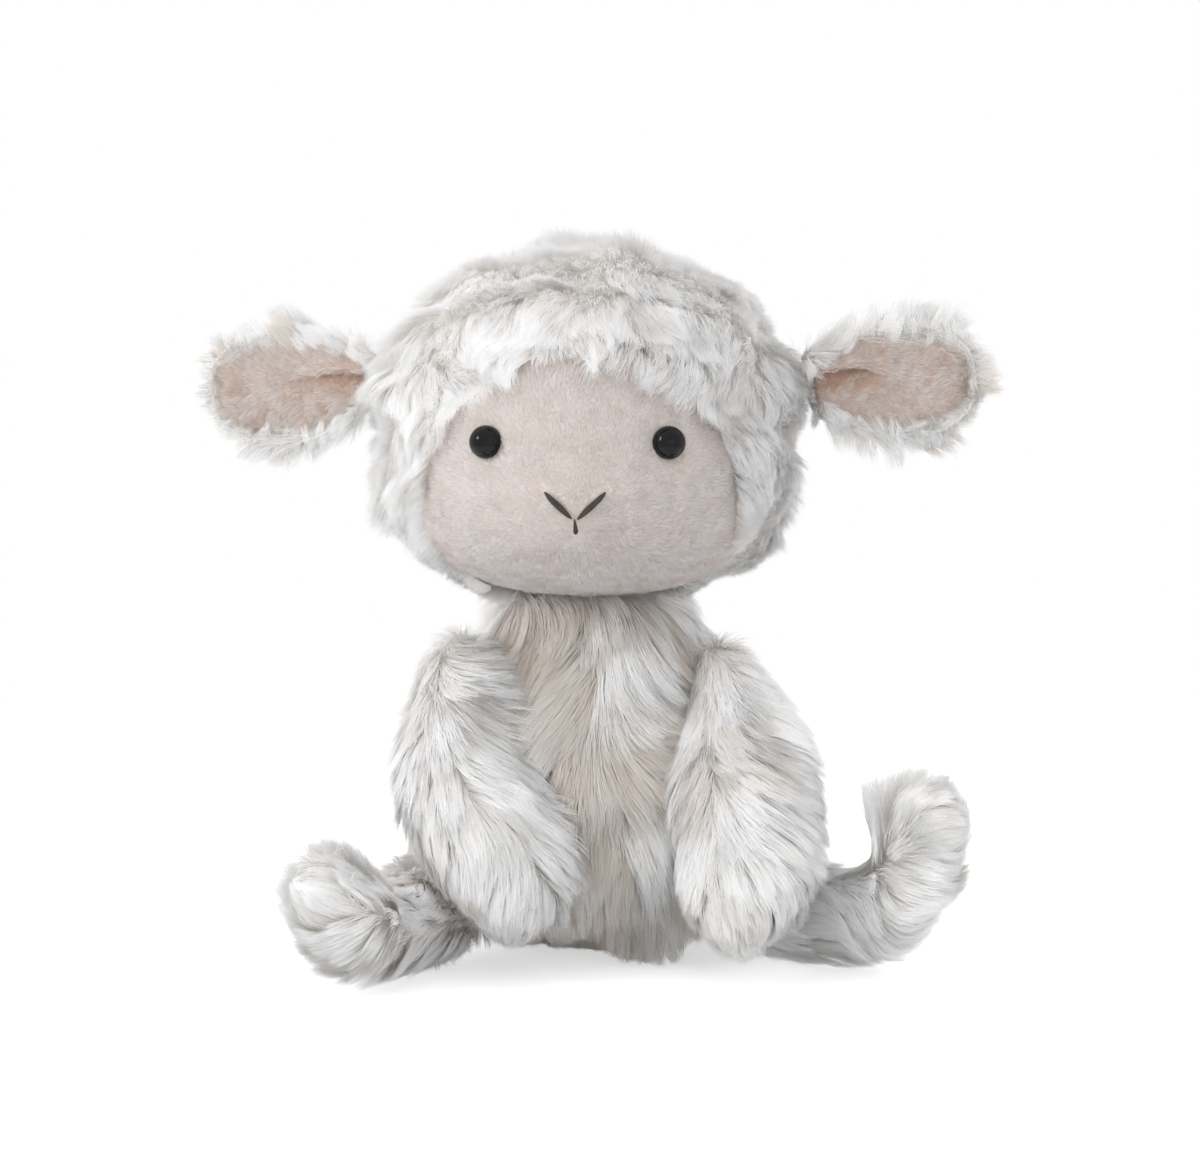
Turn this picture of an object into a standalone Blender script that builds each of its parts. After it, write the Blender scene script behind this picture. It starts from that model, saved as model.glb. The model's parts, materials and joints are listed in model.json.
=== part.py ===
"""A sitting plush sheep, built as it is sewn: fabric panels over filling, a pellet pouch and safety eyes.

Metres, +Z up. The sheep faces -Y and its own left is +X. The origin is on the floor, under the neck's axis.
A soft form is a sphere primitive whose rings are set along a spine, with a Subdivision Surface.
"""

import math

import bmesh
import bpy
from mathutils import Matrix, Vector

# Fabric and clearances
SEAM_GAP = 0.0003
SWEEP_GAP = 0.0008  # round what a moving limb is cut by
FUR_DEPTH = 0.0062  # backing and matted pile
FACE_DEPTH = 0.0026  # short pile
LINING_DEPTH = 0.0018
EAR_FUR_DEPTH = 0.0042
FLAT_DEPTH = 0.0005  # how deep the floor cuts into what rests on it
OVERRUN = 0.05  # how far cutters run past what they cut
MERGE_DISTANCE = 0.00001

# Body
BODY_HEIGHT = 0.106  # floor to neck seam
BODY_WIDTH = 0.094
BODY_DEPTH = 0.086
BODY_SINK = 0.0016  # how far the form's cage is set below the floor, which cuts it flat
NECK_TOP = 0.012  # the form's end above the seam, which the seam cuts off
POUCH_HEIGHT = 0.024  # floor to the top of the pellets
# Height, width, depth and forward shift of each ring
BODY_SHARES = (
    (0.000, 0.00, 0.00, 0.00),
    (0.025, 0.66, 0.68, 0.00),
    (0.130, 0.94, 0.94, 0.03),
    (0.300, 1.00, 1.00, 0.05),
    (0.480, 0.94, 0.95, 0.04),
    (0.660, 0.80, 0.82, 0.02),
    (0.840, 0.61, 0.62, 0.00),
    (0.980, 0.46, 0.47, 0.00),
    (1.000, 0.00, 0.00, 0.00),
)

# Head
HEAD_HEIGHT = 0.1095
HEAD_WIDTH = 0.124
HEAD_DEPTH = 0.104
HEAD_DROP = 0.006  # how far the jowls hang below the neck seam
HEAD_FORWARD = 0.004
MUZZLE_REACH = 0.010
NECK_OPENING = 0.030  # radius of the hole under the head, for the body's neck
# Height, width, depth, forward shift and push of the muzzle at each ring
HEAD_SHARES = (
    (0.00, 0.00, 0.00, 0.00, 0.0),
    (0.05, 0.60, 0.62, 0.02, 0.15),
    (0.17, 0.90, 0.88, 0.03, 0.75),
    (0.34, 1.00, 0.97, 0.02, 1.00),
    (0.53, 1.00, 1.00, 0.01, 0.45),
    (0.72, 0.93, 0.97, 0.00, 0.10),
    (0.89, 0.73, 0.78, 0.00, 0.0),
    (1.00, 0.00, 0.00, 0.00, 0.0),
)
MUZZLE_FALL = 3  # power of the cosine that fades the push round a ring

# Face panel and hood
FACE_WIDTH = 0.088
FACE_HEIGHT = 0.080
FACE_MIDDLE_SHARE = 0.3415  # of the head's height
FACE_BACK_SHARE = 0.12  # of the head's depth: where the panel ends under the chin
GUSSET_WIDTH = 0.038  # the middle strip from the fringe to the nape

# Safety eyes
EYE_RADIUS = 0.0046
EYE_DOME = 0.0042
EYE_RIM_SHARE = 0.97  # of the radius, at the flat behind the dome
EYE_DOME_DEGREES = 84.0  # how far the dome runs from its top towards the rim
EYE_DOME_STEPS = 4
EYE_BORE_REACH = 0.025  # each way from the face, past the panel and the washer
EYE_SPACING = 0.051
EYE_HEIGHT_SHARE = 0.476
STEM_RADIUS = 0.0017
STEM_LENGTH = 0.013
WASHER_RADIUS = 0.0062
WASHER_THICKNESS = 0.0012
WASHER_SETBACK = 0.0017  # clears the inside of the curved panel
TURNED_STEPS = 16

# Embroidered nose
NOSE_WIDTH = 0.0165
NOSE_HEIGHT = 0.0090
NOSE_HEIGHT_SHARE = 0.3215  # of the head's height, at the nose's middle
THREAD_RADIUS = 0.0009
THREAD_TIP_SHARE = 0.45
# Sideways and upward places of each stitch's ends
STITCH_SHARES = {
    "nose_stitch_left": ((0.50, 0.50), (0.03, -0.30)),
    "nose_stitch_right": ((-0.50, 0.50), (-0.05, -0.28)),
    "mouth_stitch": ((0.0, -0.62), (0.0, -1.0)),
}
STITCH_POINTS = 5

# Ears
EAR_LENGTH = 0.055
EAR_WIDTH = 0.040
EAR_ROOT = 0.006  # cut back by the head
EAR_CUP = 0.0075  # how far the rims stand forward of the middle, at the root
EAR_RIM = 0.0058  # fur past the lining
EAR_HEIGHT_SHARE = 0.615  # of the head's height
EAR_DROOP_DEGREES = {"left": 0.0, "right": 5.0}
EAR_FLAP_DEGREES = 25.0  # each way
EAR_HINGE = 0.0006  # seam line, out from the head's surface
# Half widths along the ear, and how much of the cup is left there
EAR_SHARES = (
    (0.0, 0.0, 1.0),
    (0.04, 0.46, 1.0),
    (0.25, 0.76, 0.85),
    (0.52, 1.0, 0.55),
    (0.78, 0.92, 0.35),
    (0.95, 0.60, 0.2),
    (1.0, 0.0, 0.1),
)

# Arms
ARM_LENGTH = 0.104
ARM_RADIUS = 0.0215
SHOULDER_SHARES = (0.74, 0.20, 0.90)  # of the body's half width, half depth and height
ARM_RAISE_DEGREES = 50.0
# Place along the arm and radius
ARM_SHARES = (
    (0.0, 0.0),
    (0.05, 0.46),
    (0.20, 0.68),
    (0.40, 0.90),
    (0.60, 1.0),
    (0.80, 1.0),
    (0.95, 0.70),
    (1.0, 0.0),
)
# The flat where an arm rests on the thigh: how far it faces forward from inward, how far up, and where it lies
REST_TURN_DEGREES = {"left": 45.0, "right": 9.0}
REST_TILT_DEGREES = {"left": 31.0, "right": 40.0}
REST_SHARE = 0.44  # of the leg's radius, from the hip
# Outward and downward angles along the arm
ARM_TURN_DEGREES = {
    "left": ((35, 50), (18, 58), (2, 50), (-20, 5)),
    "right": ((8, 50), (0, 54), (-48, 54), (-85, 40)),
}

# Legs
LEG_LENGTH = 0.104
LEG_RADIUS = 0.0160
HIP_SHARES = (0.70, 0.30)  # of the body's half width and half depth
LEG_SWING_DEGREES = 30.0
# Place along the leg, half width and half thickness
LEG_SHARES = (
    (0.0, 0.0, 0.0),
    (0.04, 0.66, 0.66),
    (0.16, 1.0, 1.0),
    (0.34, 0.98, 0.98),
    (0.50, 0.90, 0.90),
    (0.64, 0.98, 0.92),
    (0.78, 1.16, 0.96),
    (0.92, 1.04, 0.84),
    (1.0, 0.0, 0.0),
)
# How far forward each leg points, and its rise along the way
LEG_HEADING_DEGREES = {"left": 24.0, "right": 68.0}
LEG_RISE_DEGREES = {
    "left": (0, 0, 0, 8, 60, 92, 92),
    "right": (0, 0, 0, 4, 20, 50, 60),
}

# Tail
TAIL_LENGTH = 0.034
TAIL_RADIUS = 0.0085
TAIL_HEIGHT_SHARE = 0.24
TAIL_DROP_DEGREES = 25.0
TAIL_WAG_DEGREES = 25.0  # each way
TAIL_SHARES = ((0.0, 0.0), (0.08, 0.6), (0.35, 0.9), (0.65, 1.0), (0.9, 0.7), (1.0, 0.0))

# Mesh fineness, in counts
BODY_SEGMENTS = 12
LIMB_SEGMENTS = 6
EAR_SEGMENTS = 10
SPINE_STEPS = 40
SWEEP_STEPS = 4
OUTLINE_SIDES = 40
BORE_SIDES = 12

SIDES = {"left": 1.0, "right": -1.0}
FORWARD = Vector((0.0, -1.0, 0.0))
UP = Vector((0.0, 0.0, 1.0))

COLOURS = {
    "fur": ((0.90, 0.89, 0.87), 0.9),
    "face_plush": ((0.82, 0.74, 0.68), 0.85),
    "ear_plush": ((0.74, 0.60, 0.53), 0.85),
    "eye_black": ((0.010, 0.010, 0.012), 0.08),
    "thread": ((0.030, 0.024, 0.022), 0.6),
    "fibre": ((0.93, 0.93, 0.92), 1.0),
    "pouch_cloth": ((0.80, 0.79, 0.75), 0.9),
    "washer_plastic": ((0.86, 0.86, 0.84), 0.5),
}


def clear_scene():
    for obj in list(bpy.data.objects):
        bpy.data.objects.remove(obj)


def collection(name):
    made = bpy.data.collections.new(name)
    bpy.context.scene.collection.children.link(made)
    return made


def material(name):
    found = bpy.data.materials.get(name)
    if found:
        return found
    colour, roughness = COLOURS[name]
    made = bpy.data.materials.new(name)
    made.use_nodes = True
    shader = made.node_tree.nodes["Principled BSDF"]
    shader.inputs["Base Color"].default_value = (*colour, 1.0)
    shader.inputs["Roughness"].default_value = roughness
    return made


def add_object(name, data, finish=None):
    """A part with its finish, or a hidden cutter where there is none."""
    obj = bpy.data.objects.new(name, data)
    if finish:
        PARTS.objects.link(obj)
        data.materials.clear()
        data.materials.append(material(finish))
    else:
        CUTTERS.objects.link(obj)
        obj.hide_render = True
        obj.display_type = "WIRE"
    return obj


def mesh_of(bm, name):
    data = bpy.data.meshes.new(name)
    bm.to_mesh(data)
    bm.free()
    data.shade_smooth()
    return data


# Soft forms


def swell(segments):
    """What a ring's cage has to gain, because the subdivided ring shrinks."""
    return 1 / (1 - (1 - math.cos(math.tau / segments)) / 3)


def ring(centre, tangent, side, half_width, half_depth, push=0.0, cup=0.0):
    """One ring of a soft form: its centre, half axes, and the forward push of its front and sides."""
    along = tangent.normalized()
    across = (side - along * side.dot(along)).normalized()
    return centre, across * half_width, along.cross(across) * half_depth, push, cup


def soft_mesh(name, rings, segments, grow=0.0):
    """A sphere whose rings are set as asked, from the first to the last, then grown along its normals."""
    bm = bmesh.new()
    last = len(rings) - 1
    bmesh.ops.create_uvsphere(bm, u_segments=segments, v_segments=last, radius=1)
    for vertex in bm.verts:
        height = max(-1.0, min(1.0, vertex.co.z))
        row = round((1 - math.acos(height) / math.pi) * last)
        turn = math.atan2(vertex.co.y, vertex.co.x)
        centre, across, deep, push, cup = rings[row]
        if row in (0, last):
            vertex.co = centre
            continue
        wide = swell(segments)
        vertex.co = centre + (across * math.cos(turn) + deep * math.sin(turn)) * wide
        vertex.co += FORWARD * (push * max(0.0, -math.sin(turn)) ** MUZZLE_FALL + cup * math.cos(turn) ** 2)
    bm.normal_update()
    offsets = {vertex: vertex.normal * grow for vertex in bm.verts}
    for vertex, offset in offsets.items():
        vertex.co += offset
    return mesh_of(bm, name)


def soft_form(name, rings, segments, grow=0.0, finish=None):
    obj = add_object(name, soft_mesh(name, rings, segments, grow), finish)
    smooth = obj.modifiers.new("smooth", "SUBSURF")
    smooth.levels = 1
    smooth.render_levels = 1
    return obj


def body_rings():
    rings = []
    tall = BODY_HEIGHT + NECK_TOP + BODY_SINK
    for height, width, depth, forward in BODY_SHARES:
        centre = UP * (height * tall - BODY_SINK) + FORWARD * (forward * BODY_DEPTH)
        rings.append(ring(centre, UP, Vector((1, 0, 0)), width * BODY_WIDTH / 2, depth * BODY_DEPTH / 2))
    return rings


def head_rings():
    rings = []
    for height, width, depth, forward, push in HEAD_SHARES:
        centre = UP * head_level(height) + FORWARD * (forward * HEAD_DEPTH + HEAD_FORWARD)
        half_width = width * HEAD_WIDTH / 2
        half_depth = depth * HEAD_DEPTH / 2
        rings.append(ring(centre, UP, Vector((1, 0, 0)), half_width, half_depth, push * MUZZLE_REACH))
    return rings


def head_level(share):
    """The height of a place on the head, from its lowest point."""
    return BODY_HEIGHT - HEAD_DROP + share * HEAD_HEIGHT


def blended(table, share):
    """The values of an evenly spaced table of rows at a share of its length."""
    place = share * (len(table) - 1)
    low = min(int(place), len(table) - 2)
    part = place - low
    return [a + (b - a) * part for a, b in zip(table[low], table[low + 1])]


def spine_points(start, length, side, turns):
    """Even steps along a bent spine. Each turn is an outward and a downward angle in degrees."""
    points = [start]
    for step in range(SPINE_STEPS):
        out, down = (math.radians(a) for a in blended(turns, (step + 0.5) / SPINE_STEPS))
        level = math.cos(down)
        heading = Vector((side * math.sin(out) * level, -math.cos(out) * level, -math.sin(down)))
        points.append(points[-1] + heading * (length / SPINE_STEPS))
    return points


def limb_rings(points, table, radius, side_axis):
    """Rings of a limb at the table's shares of its spine: a place, a half width and a half thickness."""
    rings = []
    for place, *radii in table:
        spot = place * SPINE_STEPS
        low = min(int(spot), SPINE_STEPS - 1)
        centre = points[low].lerp(points[low + 1], spot - low)
        tangent = points[min(low + 2, SPINE_STEPS)] - points[max(low - 1, 0)]
        rings.append(ring(centre, tangent, side_axis, radii[0] * radius, radii[-1] * radius))
    return rings


# Cutters and cuts


def cut(obj, cutter, operation="DIFFERENCE"):
    modifier = obj.modifiers.new(cutter.name, "BOOLEAN")
    modifier.operation = operation
    modifier.object = cutter
    modifier.solver = "EXACT"


def block(name, low, high):
    """A cutter box between two corners."""
    bm = bmesh.new()
    bmesh.ops.create_cube(bm, size=1)
    for vertex in bm.verts:
        vertex.co = Vector(high[i] if vertex.co[i] > 0 else low[i] for i in range(3))
    return add_object(name, mesh_of(bm, name))


def rod(name, radius, low, high, sides, place=None, turn=None):
    """A cylinder cutter on its own Z axis, from low to high, then placed and turned."""
    bm = bmesh.new()
    size = {"radius1": radius, "radius2": radius, "depth": high - low}
    bmesh.ops.create_cone(bm, cap_ends=True, cap_tris=True, segments=sides, **size)
    bmesh.ops.translate(bm, verts=bm.verts, vec=UP * (low + high) / 2)
    obj = add_object(name, mesh_of(bm, name))
    if place:
        obj.location = place
    if turn:
        obj.rotation_mode = "QUATERNION"
        obj.rotation_quaternion = turn
    return obj


def cut_by_sweep(pieces, name, rings, segments, pivot, axis, angles):
    """Cuts the pieces of a moving limb by what carries it, as the limb meets it at each angle."""
    mesh = soft_mesh(name, rings, segments, SWEEP_GAP)
    for step, angle in enumerate(angles):
        cutter = add_object(f"{name}_{step}", mesh)
        smooth = cutter.modifiers.new("smooth", "SUBSURF")
        smooth.levels = 1
        smooth.render_levels = 1
        turn = Matrix.Rotation(-math.radians(angle), 4, axis)
        cutter.matrix_world = Matrix.Translation(pivot) @ turn @ Matrix.Translation(-pivot)
        for piece in pieces:
            cut(piece, cutter)


def sweep_angles(low, high):
    return [low + (high - low) * step / SWEEP_STEPS for step in range(SWEEP_STEPS + 1)]


def surface_point(form, x, z, from_side=False):
    """The point and normal where a line from the front, or from one side, meets a form."""
    bpy.context.view_layer.update()
    solid = form.evaluated_get(bpy.context.evaluated_depsgraph_get())
    far = HEAD_WIDTH + HEAD_DEPTH
    origin = Vector((x, -far, z))
    heading = -FORWARD
    if from_side:
        origin = Vector((math.copysign(far, x), -HEAD_FORWARD, z))
        heading = Vector((-math.copysign(1, x), 0, 0))
    _, point, normal, _ = solid.ray_cast(origin, heading)
    return point, normal


def joint_empty(name, pivot, pieces):
    """An empty on the joint that carries the pieces that move with it."""
    empty = bpy.data.objects.new(name, None)
    PARTS.objects.link(empty)
    empty.location = pivot
    bpy.context.view_layer.update()
    for piece in pieces:
        piece.parent = empty
        piece.matrix_parent_inverse = empty.matrix_world.inverted()


# The parts


def make_body():
    rings = body_rings()
    core = soft_form("body_core_cutter", rings, BODY_SEGMENTS, SEAM_GAP - FUR_DEPTH)
    neck_seam = block(
        "above_neck_cutter",
        (-BODY_WIDTH, -BODY_DEPTH, BODY_HEIGHT),
        (BODY_WIDTH, BODY_DEPTH, BODY_HEIGHT + OVERRUN),
    )
    halves = {
        "body_front": (SEAM_GAP / -2, BODY_DEPTH),
        "body_back": (-BODY_DEPTH, SEAM_GAP / 2),
    }
    top = BODY_HEIGHT + OVERRUN
    for name, (low, high) in halves.items():
        shell = soft_form(name, rings, BODY_SEGMENTS, 0.0, "fur")
        cut(shell, core)
        cut(shell, FLOOR)
        cut(shell, neck_seam)
        cut(shell, block(f"{name}_seam_cutter", (-BODY_WIDTH, low, -OVERRUN), (BODY_WIDTH, high, top)))
    filling = soft_form("body_stuffing", rings, BODY_SEGMENTS, -FUR_DEPTH, "fibre")
    pouch = soft_form("pellet_pouch", rings, BODY_SEGMENTS, -FUR_DEPTH, "pouch_cloth")
    low = (-BODY_WIDTH, -BODY_DEPTH)
    high = (BODY_WIDTH, BODY_DEPTH)
    cut(filling, neck_seam)
    cut(filling, block("under_stuffing_cutter", (*low, -OVERRUN), (*high, POUCH_HEIGHT + SEAM_GAP)))
    cut(pouch, block("over_pouch_cutter", (*low, POUCH_HEIGHT), (*high, top)))


def make_head():
    rings = head_rings()
    core = soft_form("head_core_cutter", rings, BODY_SEGMENTS, SEAM_GAP - FUR_DEPTH)
    face_form = soft_form("face_form", rings, BODY_SEGMENTS, FACE_DEPTH - FUR_DEPTH)
    neck = rod("neck_cutter", NECK_OPENING, BODY_HEIGHT - OVERRUN, BODY_HEIGHT + SEAM_GAP, OUTLINE_SIDES)
    opening = face_outline("face_opening_cutter", SEAM_GAP / 2)
    within = face_outline("face_panel_cutter", -SEAM_GAP / 2)
    half = GUSSET_WIDTH / 2
    reach = HEAD_WIDTH + HEAD_DEPTH
    top = BODY_HEIGHT + HEAD_HEIGHT + OVERRUN
    middle_gap = SEAM_GAP / 2
    not_left = block("not_left_cutter", (-reach, -reach, 0), (half + middle_gap, reach, top))
    not_right = block("not_right_cutter", (-half - middle_gap, -reach, 0), (reach, reach, top))
    strip = block("gusset_cutter", (middle_gap - half, -reach, 0), (half - middle_gap, reach, top))
    panels = {
        "left_head_side": (not_left, "DIFFERENCE"),
        "right_head_side": (not_right, "DIFFERENCE"),
        "head_gusset": (strip, "INTERSECT"),
    }
    made = []
    for name, (cutter, operation) in panels.items():
        panel = soft_form(name, rings, BODY_SEGMENTS, 0.0, "fur")
        cut(panel, core)
        cut(panel, opening)
        cut(panel, neck)
        cut(panel, cutter, operation)
        made.append(panel)
    face = soft_form("face_panel", rings, BODY_SEGMENTS, FACE_DEPTH - FUR_DEPTH, "face_plush")
    cut(face, core)
    cut(face, neck)
    cut(face, within, "INTERSECT")
    filling = soft_form("head_stuffing", rings, BODY_SEGMENTS, -FUR_DEPTH, "fibre")
    cut(filling, neck)
    made += [face, filling]
    made += make_eyes(face_form, face, filling)
    made += make_nose(face_form)
    return made


def face_outline(name, grow):
    """The elliptical prism that parts the face panel from the hood, back to under the chin."""
    middle = head_level(FACE_MIDDLE_SHARE)
    reach = HEAD_WIDTH + HEAD_DEPTH
    prism = rod(name, 1, 0, 1, OUTLINE_SIDES)
    back = -FACE_BACK_SHARE * HEAD_DEPTH + grow
    size = Matrix.Diagonal((FACE_WIDTH / 2 + grow, FACE_HEIGHT / 2 + grow, reach, 1))
    prism.data.transform(size)
    prism.location = (0, back, middle)
    prism.rotation_euler = (math.radians(90), 0, 0)
    return prism


def turned(name, profile, finish, closed=False):
    """A profile in the XZ plane, run down its outer side and turned about Z."""
    data = bpy.data.meshes.new(name)
    count = len(profile)
    edges = [(i, (i + 1) % count) for i in range(count if closed else count - 1)]
    data.from_pydata([(x, 0, z) for x, z in profile], edges, [])
    obj = add_object(name, data, finish)
    screw = obj.modifiers.new("turn", "SCREW")
    screw.axis = "Z"
    screw.steps = TURNED_STEPS
    screw.render_steps = TURNED_STEPS
    screw.use_merge_vertices = True
    screw.merge_threshold = MERGE_DISTANCE
    screw.use_smooth_shade = True
    return obj


def place_on(obj, point, normal):
    obj.location = point
    obj.rotation_mode = "QUATERNION"
    obj.rotation_quaternion = normal.to_track_quat("Z", "Y")


def make_eyes(face_form, face, filling):
    """A domed eye with its stem through the panel, held by a lock washer in a pocket of the stuffing."""
    angles = [math.radians(EYE_DOME_DEGREES * step / EYE_DOME_STEPS) for step in range(EYE_DOME_STEPS + 1)]
    dome = [(EYE_RADIUS * math.sin(a), EYE_DOME * math.cos(a) + SEAM_GAP) for a in angles]
    eye_profile = dome + [
        (EYE_RADIUS * EYE_RIM_SHARE, SEAM_GAP),
        (STEM_RADIUS, SEAM_GAP),
        (STEM_RADIUS, -STEM_LENGTH),
        (0, -STEM_LENGTH),
    ]
    bore = STEM_RADIUS + SEAM_GAP
    washer_top = -(FACE_DEPTH + WASHER_SETBACK)
    washer_low = washer_top - WASHER_THICKNESS
    washer_profile = [
        (bore, washer_top),
        (WASHER_RADIUS, washer_top),
        (WASHER_RADIUS, washer_low),
        (bore, washer_low),
    ]
    pocket = WASHER_RADIUS + SEAM_GAP
    pocket_floor = -(STEM_LENGTH + SEAM_GAP)
    made = []
    for side, sign in SIDES.items():
        point, normal = surface_point(face_form, sign * EYE_SPACING / 2, head_level(EYE_HEIGHT_SHARE))
        turn = normal.to_track_quat("Z", "Y")
        eye = turned(f"{side}_eye", eye_profile, "eye_black")
        washer = turned(f"{side}_eye_washer", washer_profile, "washer_plastic", closed=True)
        place_on(eye, point, normal)
        place_on(washer, point, normal)
        reach = EYE_BORE_REACH
        cut(face, rod(f"{side}_eye_hole", bore, -reach, reach, BORE_SIDES, point, turn))
        cut(filling, rod(f"{side}_eye_pocket", pocket, pocket_floor, reach, BORE_SIDES, point, turn))
        made += [eye, washer]
    return made


def make_nose(face_form):
    """Each stitch is a thread laid over the face, thinner at both ends."""
    made = []
    middle = head_level(NOSE_HEIGHT_SHARE)
    for name, (start, end) in STITCH_SHARES.items():
        curve = bpy.data.curves.new(name, "CURVE")
        curve.dimensions = "3D"
        curve.bevel_depth = THREAD_RADIUS
        curve.bevel_resolution = 2
        curve.use_fill_caps = True
        spline = curve.splines.new("POLY")
        spline.points.add(STITCH_POINTS - 1)
        for i, spot in enumerate(spline.points):
            share = i / (STITCH_POINTS - 1)
            x = (start[0] + (end[0] - start[0]) * share) * NOSE_WIDTH
            z = middle + (start[1] + (end[1] - start[1]) * share) * NOSE_HEIGHT
            point, normal = surface_point(face_form, x, z)
            spot.co = (*(point + normal * (THREAD_RADIUS + SEAM_GAP)), 1)
            spot.radius = THREAD_TIP_SHARE + (1 - THREAD_TIP_SHARE) * math.sin(share * math.pi)
        made.append(add_object(name, curve, "thread"))
    return made


def ear_rings(root, side, width_loss, middle, thickness):
    """Rings of one layer of a cupped ear, out from the root. The rims stand forward of the middle."""
    sign = SIDES[side]
    heading = Matrix.Rotation(math.radians(EAR_DROOP_DEGREES[side]) * sign, 3, "Y") @ Vector((sign, 0, 0))
    rings = []
    for place, width, cup in EAR_SHARES:
        length = (EAR_LENGTH - width_loss) * place - EAR_ROOT * (1 - place)
        centre = root + heading * length + FORWARD * middle
        half_width = width * (EAR_WIDTH / 2 - width_loss)
        half_depth = min(half_width, thickness / 2)
        rings.append(ring(centre, heading, UP, half_width, half_depth, cup=cup * EAR_CUP))
    return rings


def make_ear(side, sign):
    hood = bpy.data.objects["head_form"]
    reach = HEAD_WIDTH
    point, normal = surface_point(hood, sign, head_level(EAR_HEIGHT_SHARE), from_side=True)
    root = point + normal * EAR_HINGE
    layers = {
        f"{side}_ear_back": (0.0, EAR_FUR_DEPTH / -2, EAR_FUR_DEPTH, "fur"),
        f"{side}_ear_lining": (EAR_RIM, SEAM_GAP + LINING_DEPTH / 2, LINING_DEPTH, "ear_plush"),
    }
    made = []
    for name, (rim, middle, depth, finish) in layers.items():
        made.append(soft_form(name, ear_rings(root, side, rim, middle, depth), EAR_SEGMENTS, 0.0, finish))
    for angle in (-EAR_FLAP_DEGREES, EAR_FLAP_DEGREES):
        cutter = block(f"{side}_ear_root_cutter", (-reach, -reach, -reach), (reach, reach, 0))
        turn = Matrix.Rotation(math.radians(angle), 4, UP)
        facing = normal.to_track_quat("Z", "Y").to_matrix().to_4x4()
        cutter.matrix_world = Matrix.Translation(root) @ turn @ facing
        for piece in made:
            cut(piece, cutter)
    joint_empty(f"{side}_ear_joint", root, made)


def make_limb(name, rings):
    """A limb's fur sleeve and its filling, before they are cut by what carries them."""
    core = soft_form(f"{name}_core_cutter", rings, LIMB_SEGMENTS, SEAM_GAP - FUR_DEPTH)
    sleeve = soft_form(f"{name}_sleeve", rings, LIMB_SEGMENTS, 0.0, "fur")
    cut(sleeve, core)
    filling = soft_form(f"{name}_stuffing", rings, LIMB_SEGMENTS, -FUR_DEPTH - SEAM_GAP, "fibre")
    return [sleeve, filling]


def make_arm(side, sign):
    out, forward, up = SHOULDER_SHARES
    pivot = Vector((sign * out * BODY_WIDTH / 2, -forward * BODY_DEPTH / 2, up * BODY_HEIGHT))
    points = spine_points(pivot, ARM_LENGTH, sign, ARM_TURN_DEGREES[side])
    pieces = make_limb(f"{side}_arm", limb_rings(points, ARM_SHARES, ARM_RADIUS, Vector((1, 0, 0))))
    axis = Vector((-1, 0, 0))
    angles = sweep_angles(0, ARM_RAISE_DEGREES)
    cut_at_rest(pieces, side, sign, -OVERRUN - ARM_LENGTH, SWEEP_GAP / 2)
    cut_by_sweep(pieces, f"{side}_arm_sweep", body_rings(), BODY_SEGMENTS, pivot, axis, angles)
    joint_empty(f"{side}_arm_joint", pivot, pieces)


def hip_place(sign):
    out, forward = HIP_SHARES
    return Vector((sign * out * BODY_WIDTH / 2, -forward * BODY_DEPTH / 2, LEG_RADIUS - FLAT_DEPTH))


def cut_at_rest(pieces, side, sign, low, high):
    """Cuts a limb, from low to high over the flat between the arm and the thigh that it rests on."""
    turn = math.radians(REST_TURN_DEGREES[side])
    tilt = math.radians(REST_TILT_DEGREES[side])
    level = math.cos(tilt)
    facing = Vector((-sign * math.cos(turn) * level, -math.sin(turn) * level, math.sin(tilt)))
    reach = ARM_LENGTH + LEG_LENGTH
    cutter = block(f"{side}_rest_cutter", (-reach, -reach, low), (reach, reach, high))
    place_on(cutter, hip_place(sign) + facing * (REST_SHARE * LEG_RADIUS), facing)
    for piece in pieces:
        cut(piece, cutter)


def leg_rings(side, sign):
    """The rings of a leg as it lies on the floor at rest."""
    heading = 90 - LEG_HEADING_DEGREES[side]
    turns = [(heading, -rise) for rise in LEG_RISE_DEGREES[side]]
    points = spine_points(hip_place(sign), LEG_LENGTH, sign, turns)
    side_axis = Vector((math.cos(math.radians(heading)), sign * math.sin(math.radians(heading)), 0))
    return limb_rings(points, LEG_SHARES, LEG_RADIUS, side_axis)


def make_leg(side, sign):
    pivot = hip_place(sign)
    pieces = make_limb(f"{side}_leg", leg_rings(side, sign))
    for piece in pieces:
        cut(piece, FLOOR)
    cut_at_rest(pieces, side, sign, -SWEEP_GAP / 2, OVERRUN + LEG_LENGTH)
    axis = UP * sign
    angles = sweep_angles(0, LEG_SWING_DEGREES)
    cut_by_sweep(pieces, f"{side}_leg_sweep", body_rings(), BODY_SEGMENTS, pivot, axis, angles)
    joint_empty(f"{side}_leg_joint", pivot, pieces)


def make_tail():
    level = TAIL_HEIGHT_SHARE * BODY_HEIGHT
    pivot = Vector((0, BODY_DEPTH / 2 - FUR_DEPTH, level))
    turns = [(180, 0), (180, TAIL_DROP_DEGREES), (180, 2 * TAIL_DROP_DEGREES)]
    points = spine_points(pivot, TAIL_LENGTH, 1, turns)
    rings = limb_rings(points, TAIL_SHARES, TAIL_RADIUS, Vector((1, 0, 0)))
    tail = soft_form("tail", rings, LIMB_SEGMENTS, 0.0, "fur")
    angles = sweep_angles(-TAIL_WAG_DEGREES, TAIL_WAG_DEGREES)
    cut_by_sweep([tail], "tail_sweep", body_rings(), BODY_SEGMENTS, pivot, UP, angles)
    joint_empty("tail_joint", pivot, [tail])


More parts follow.
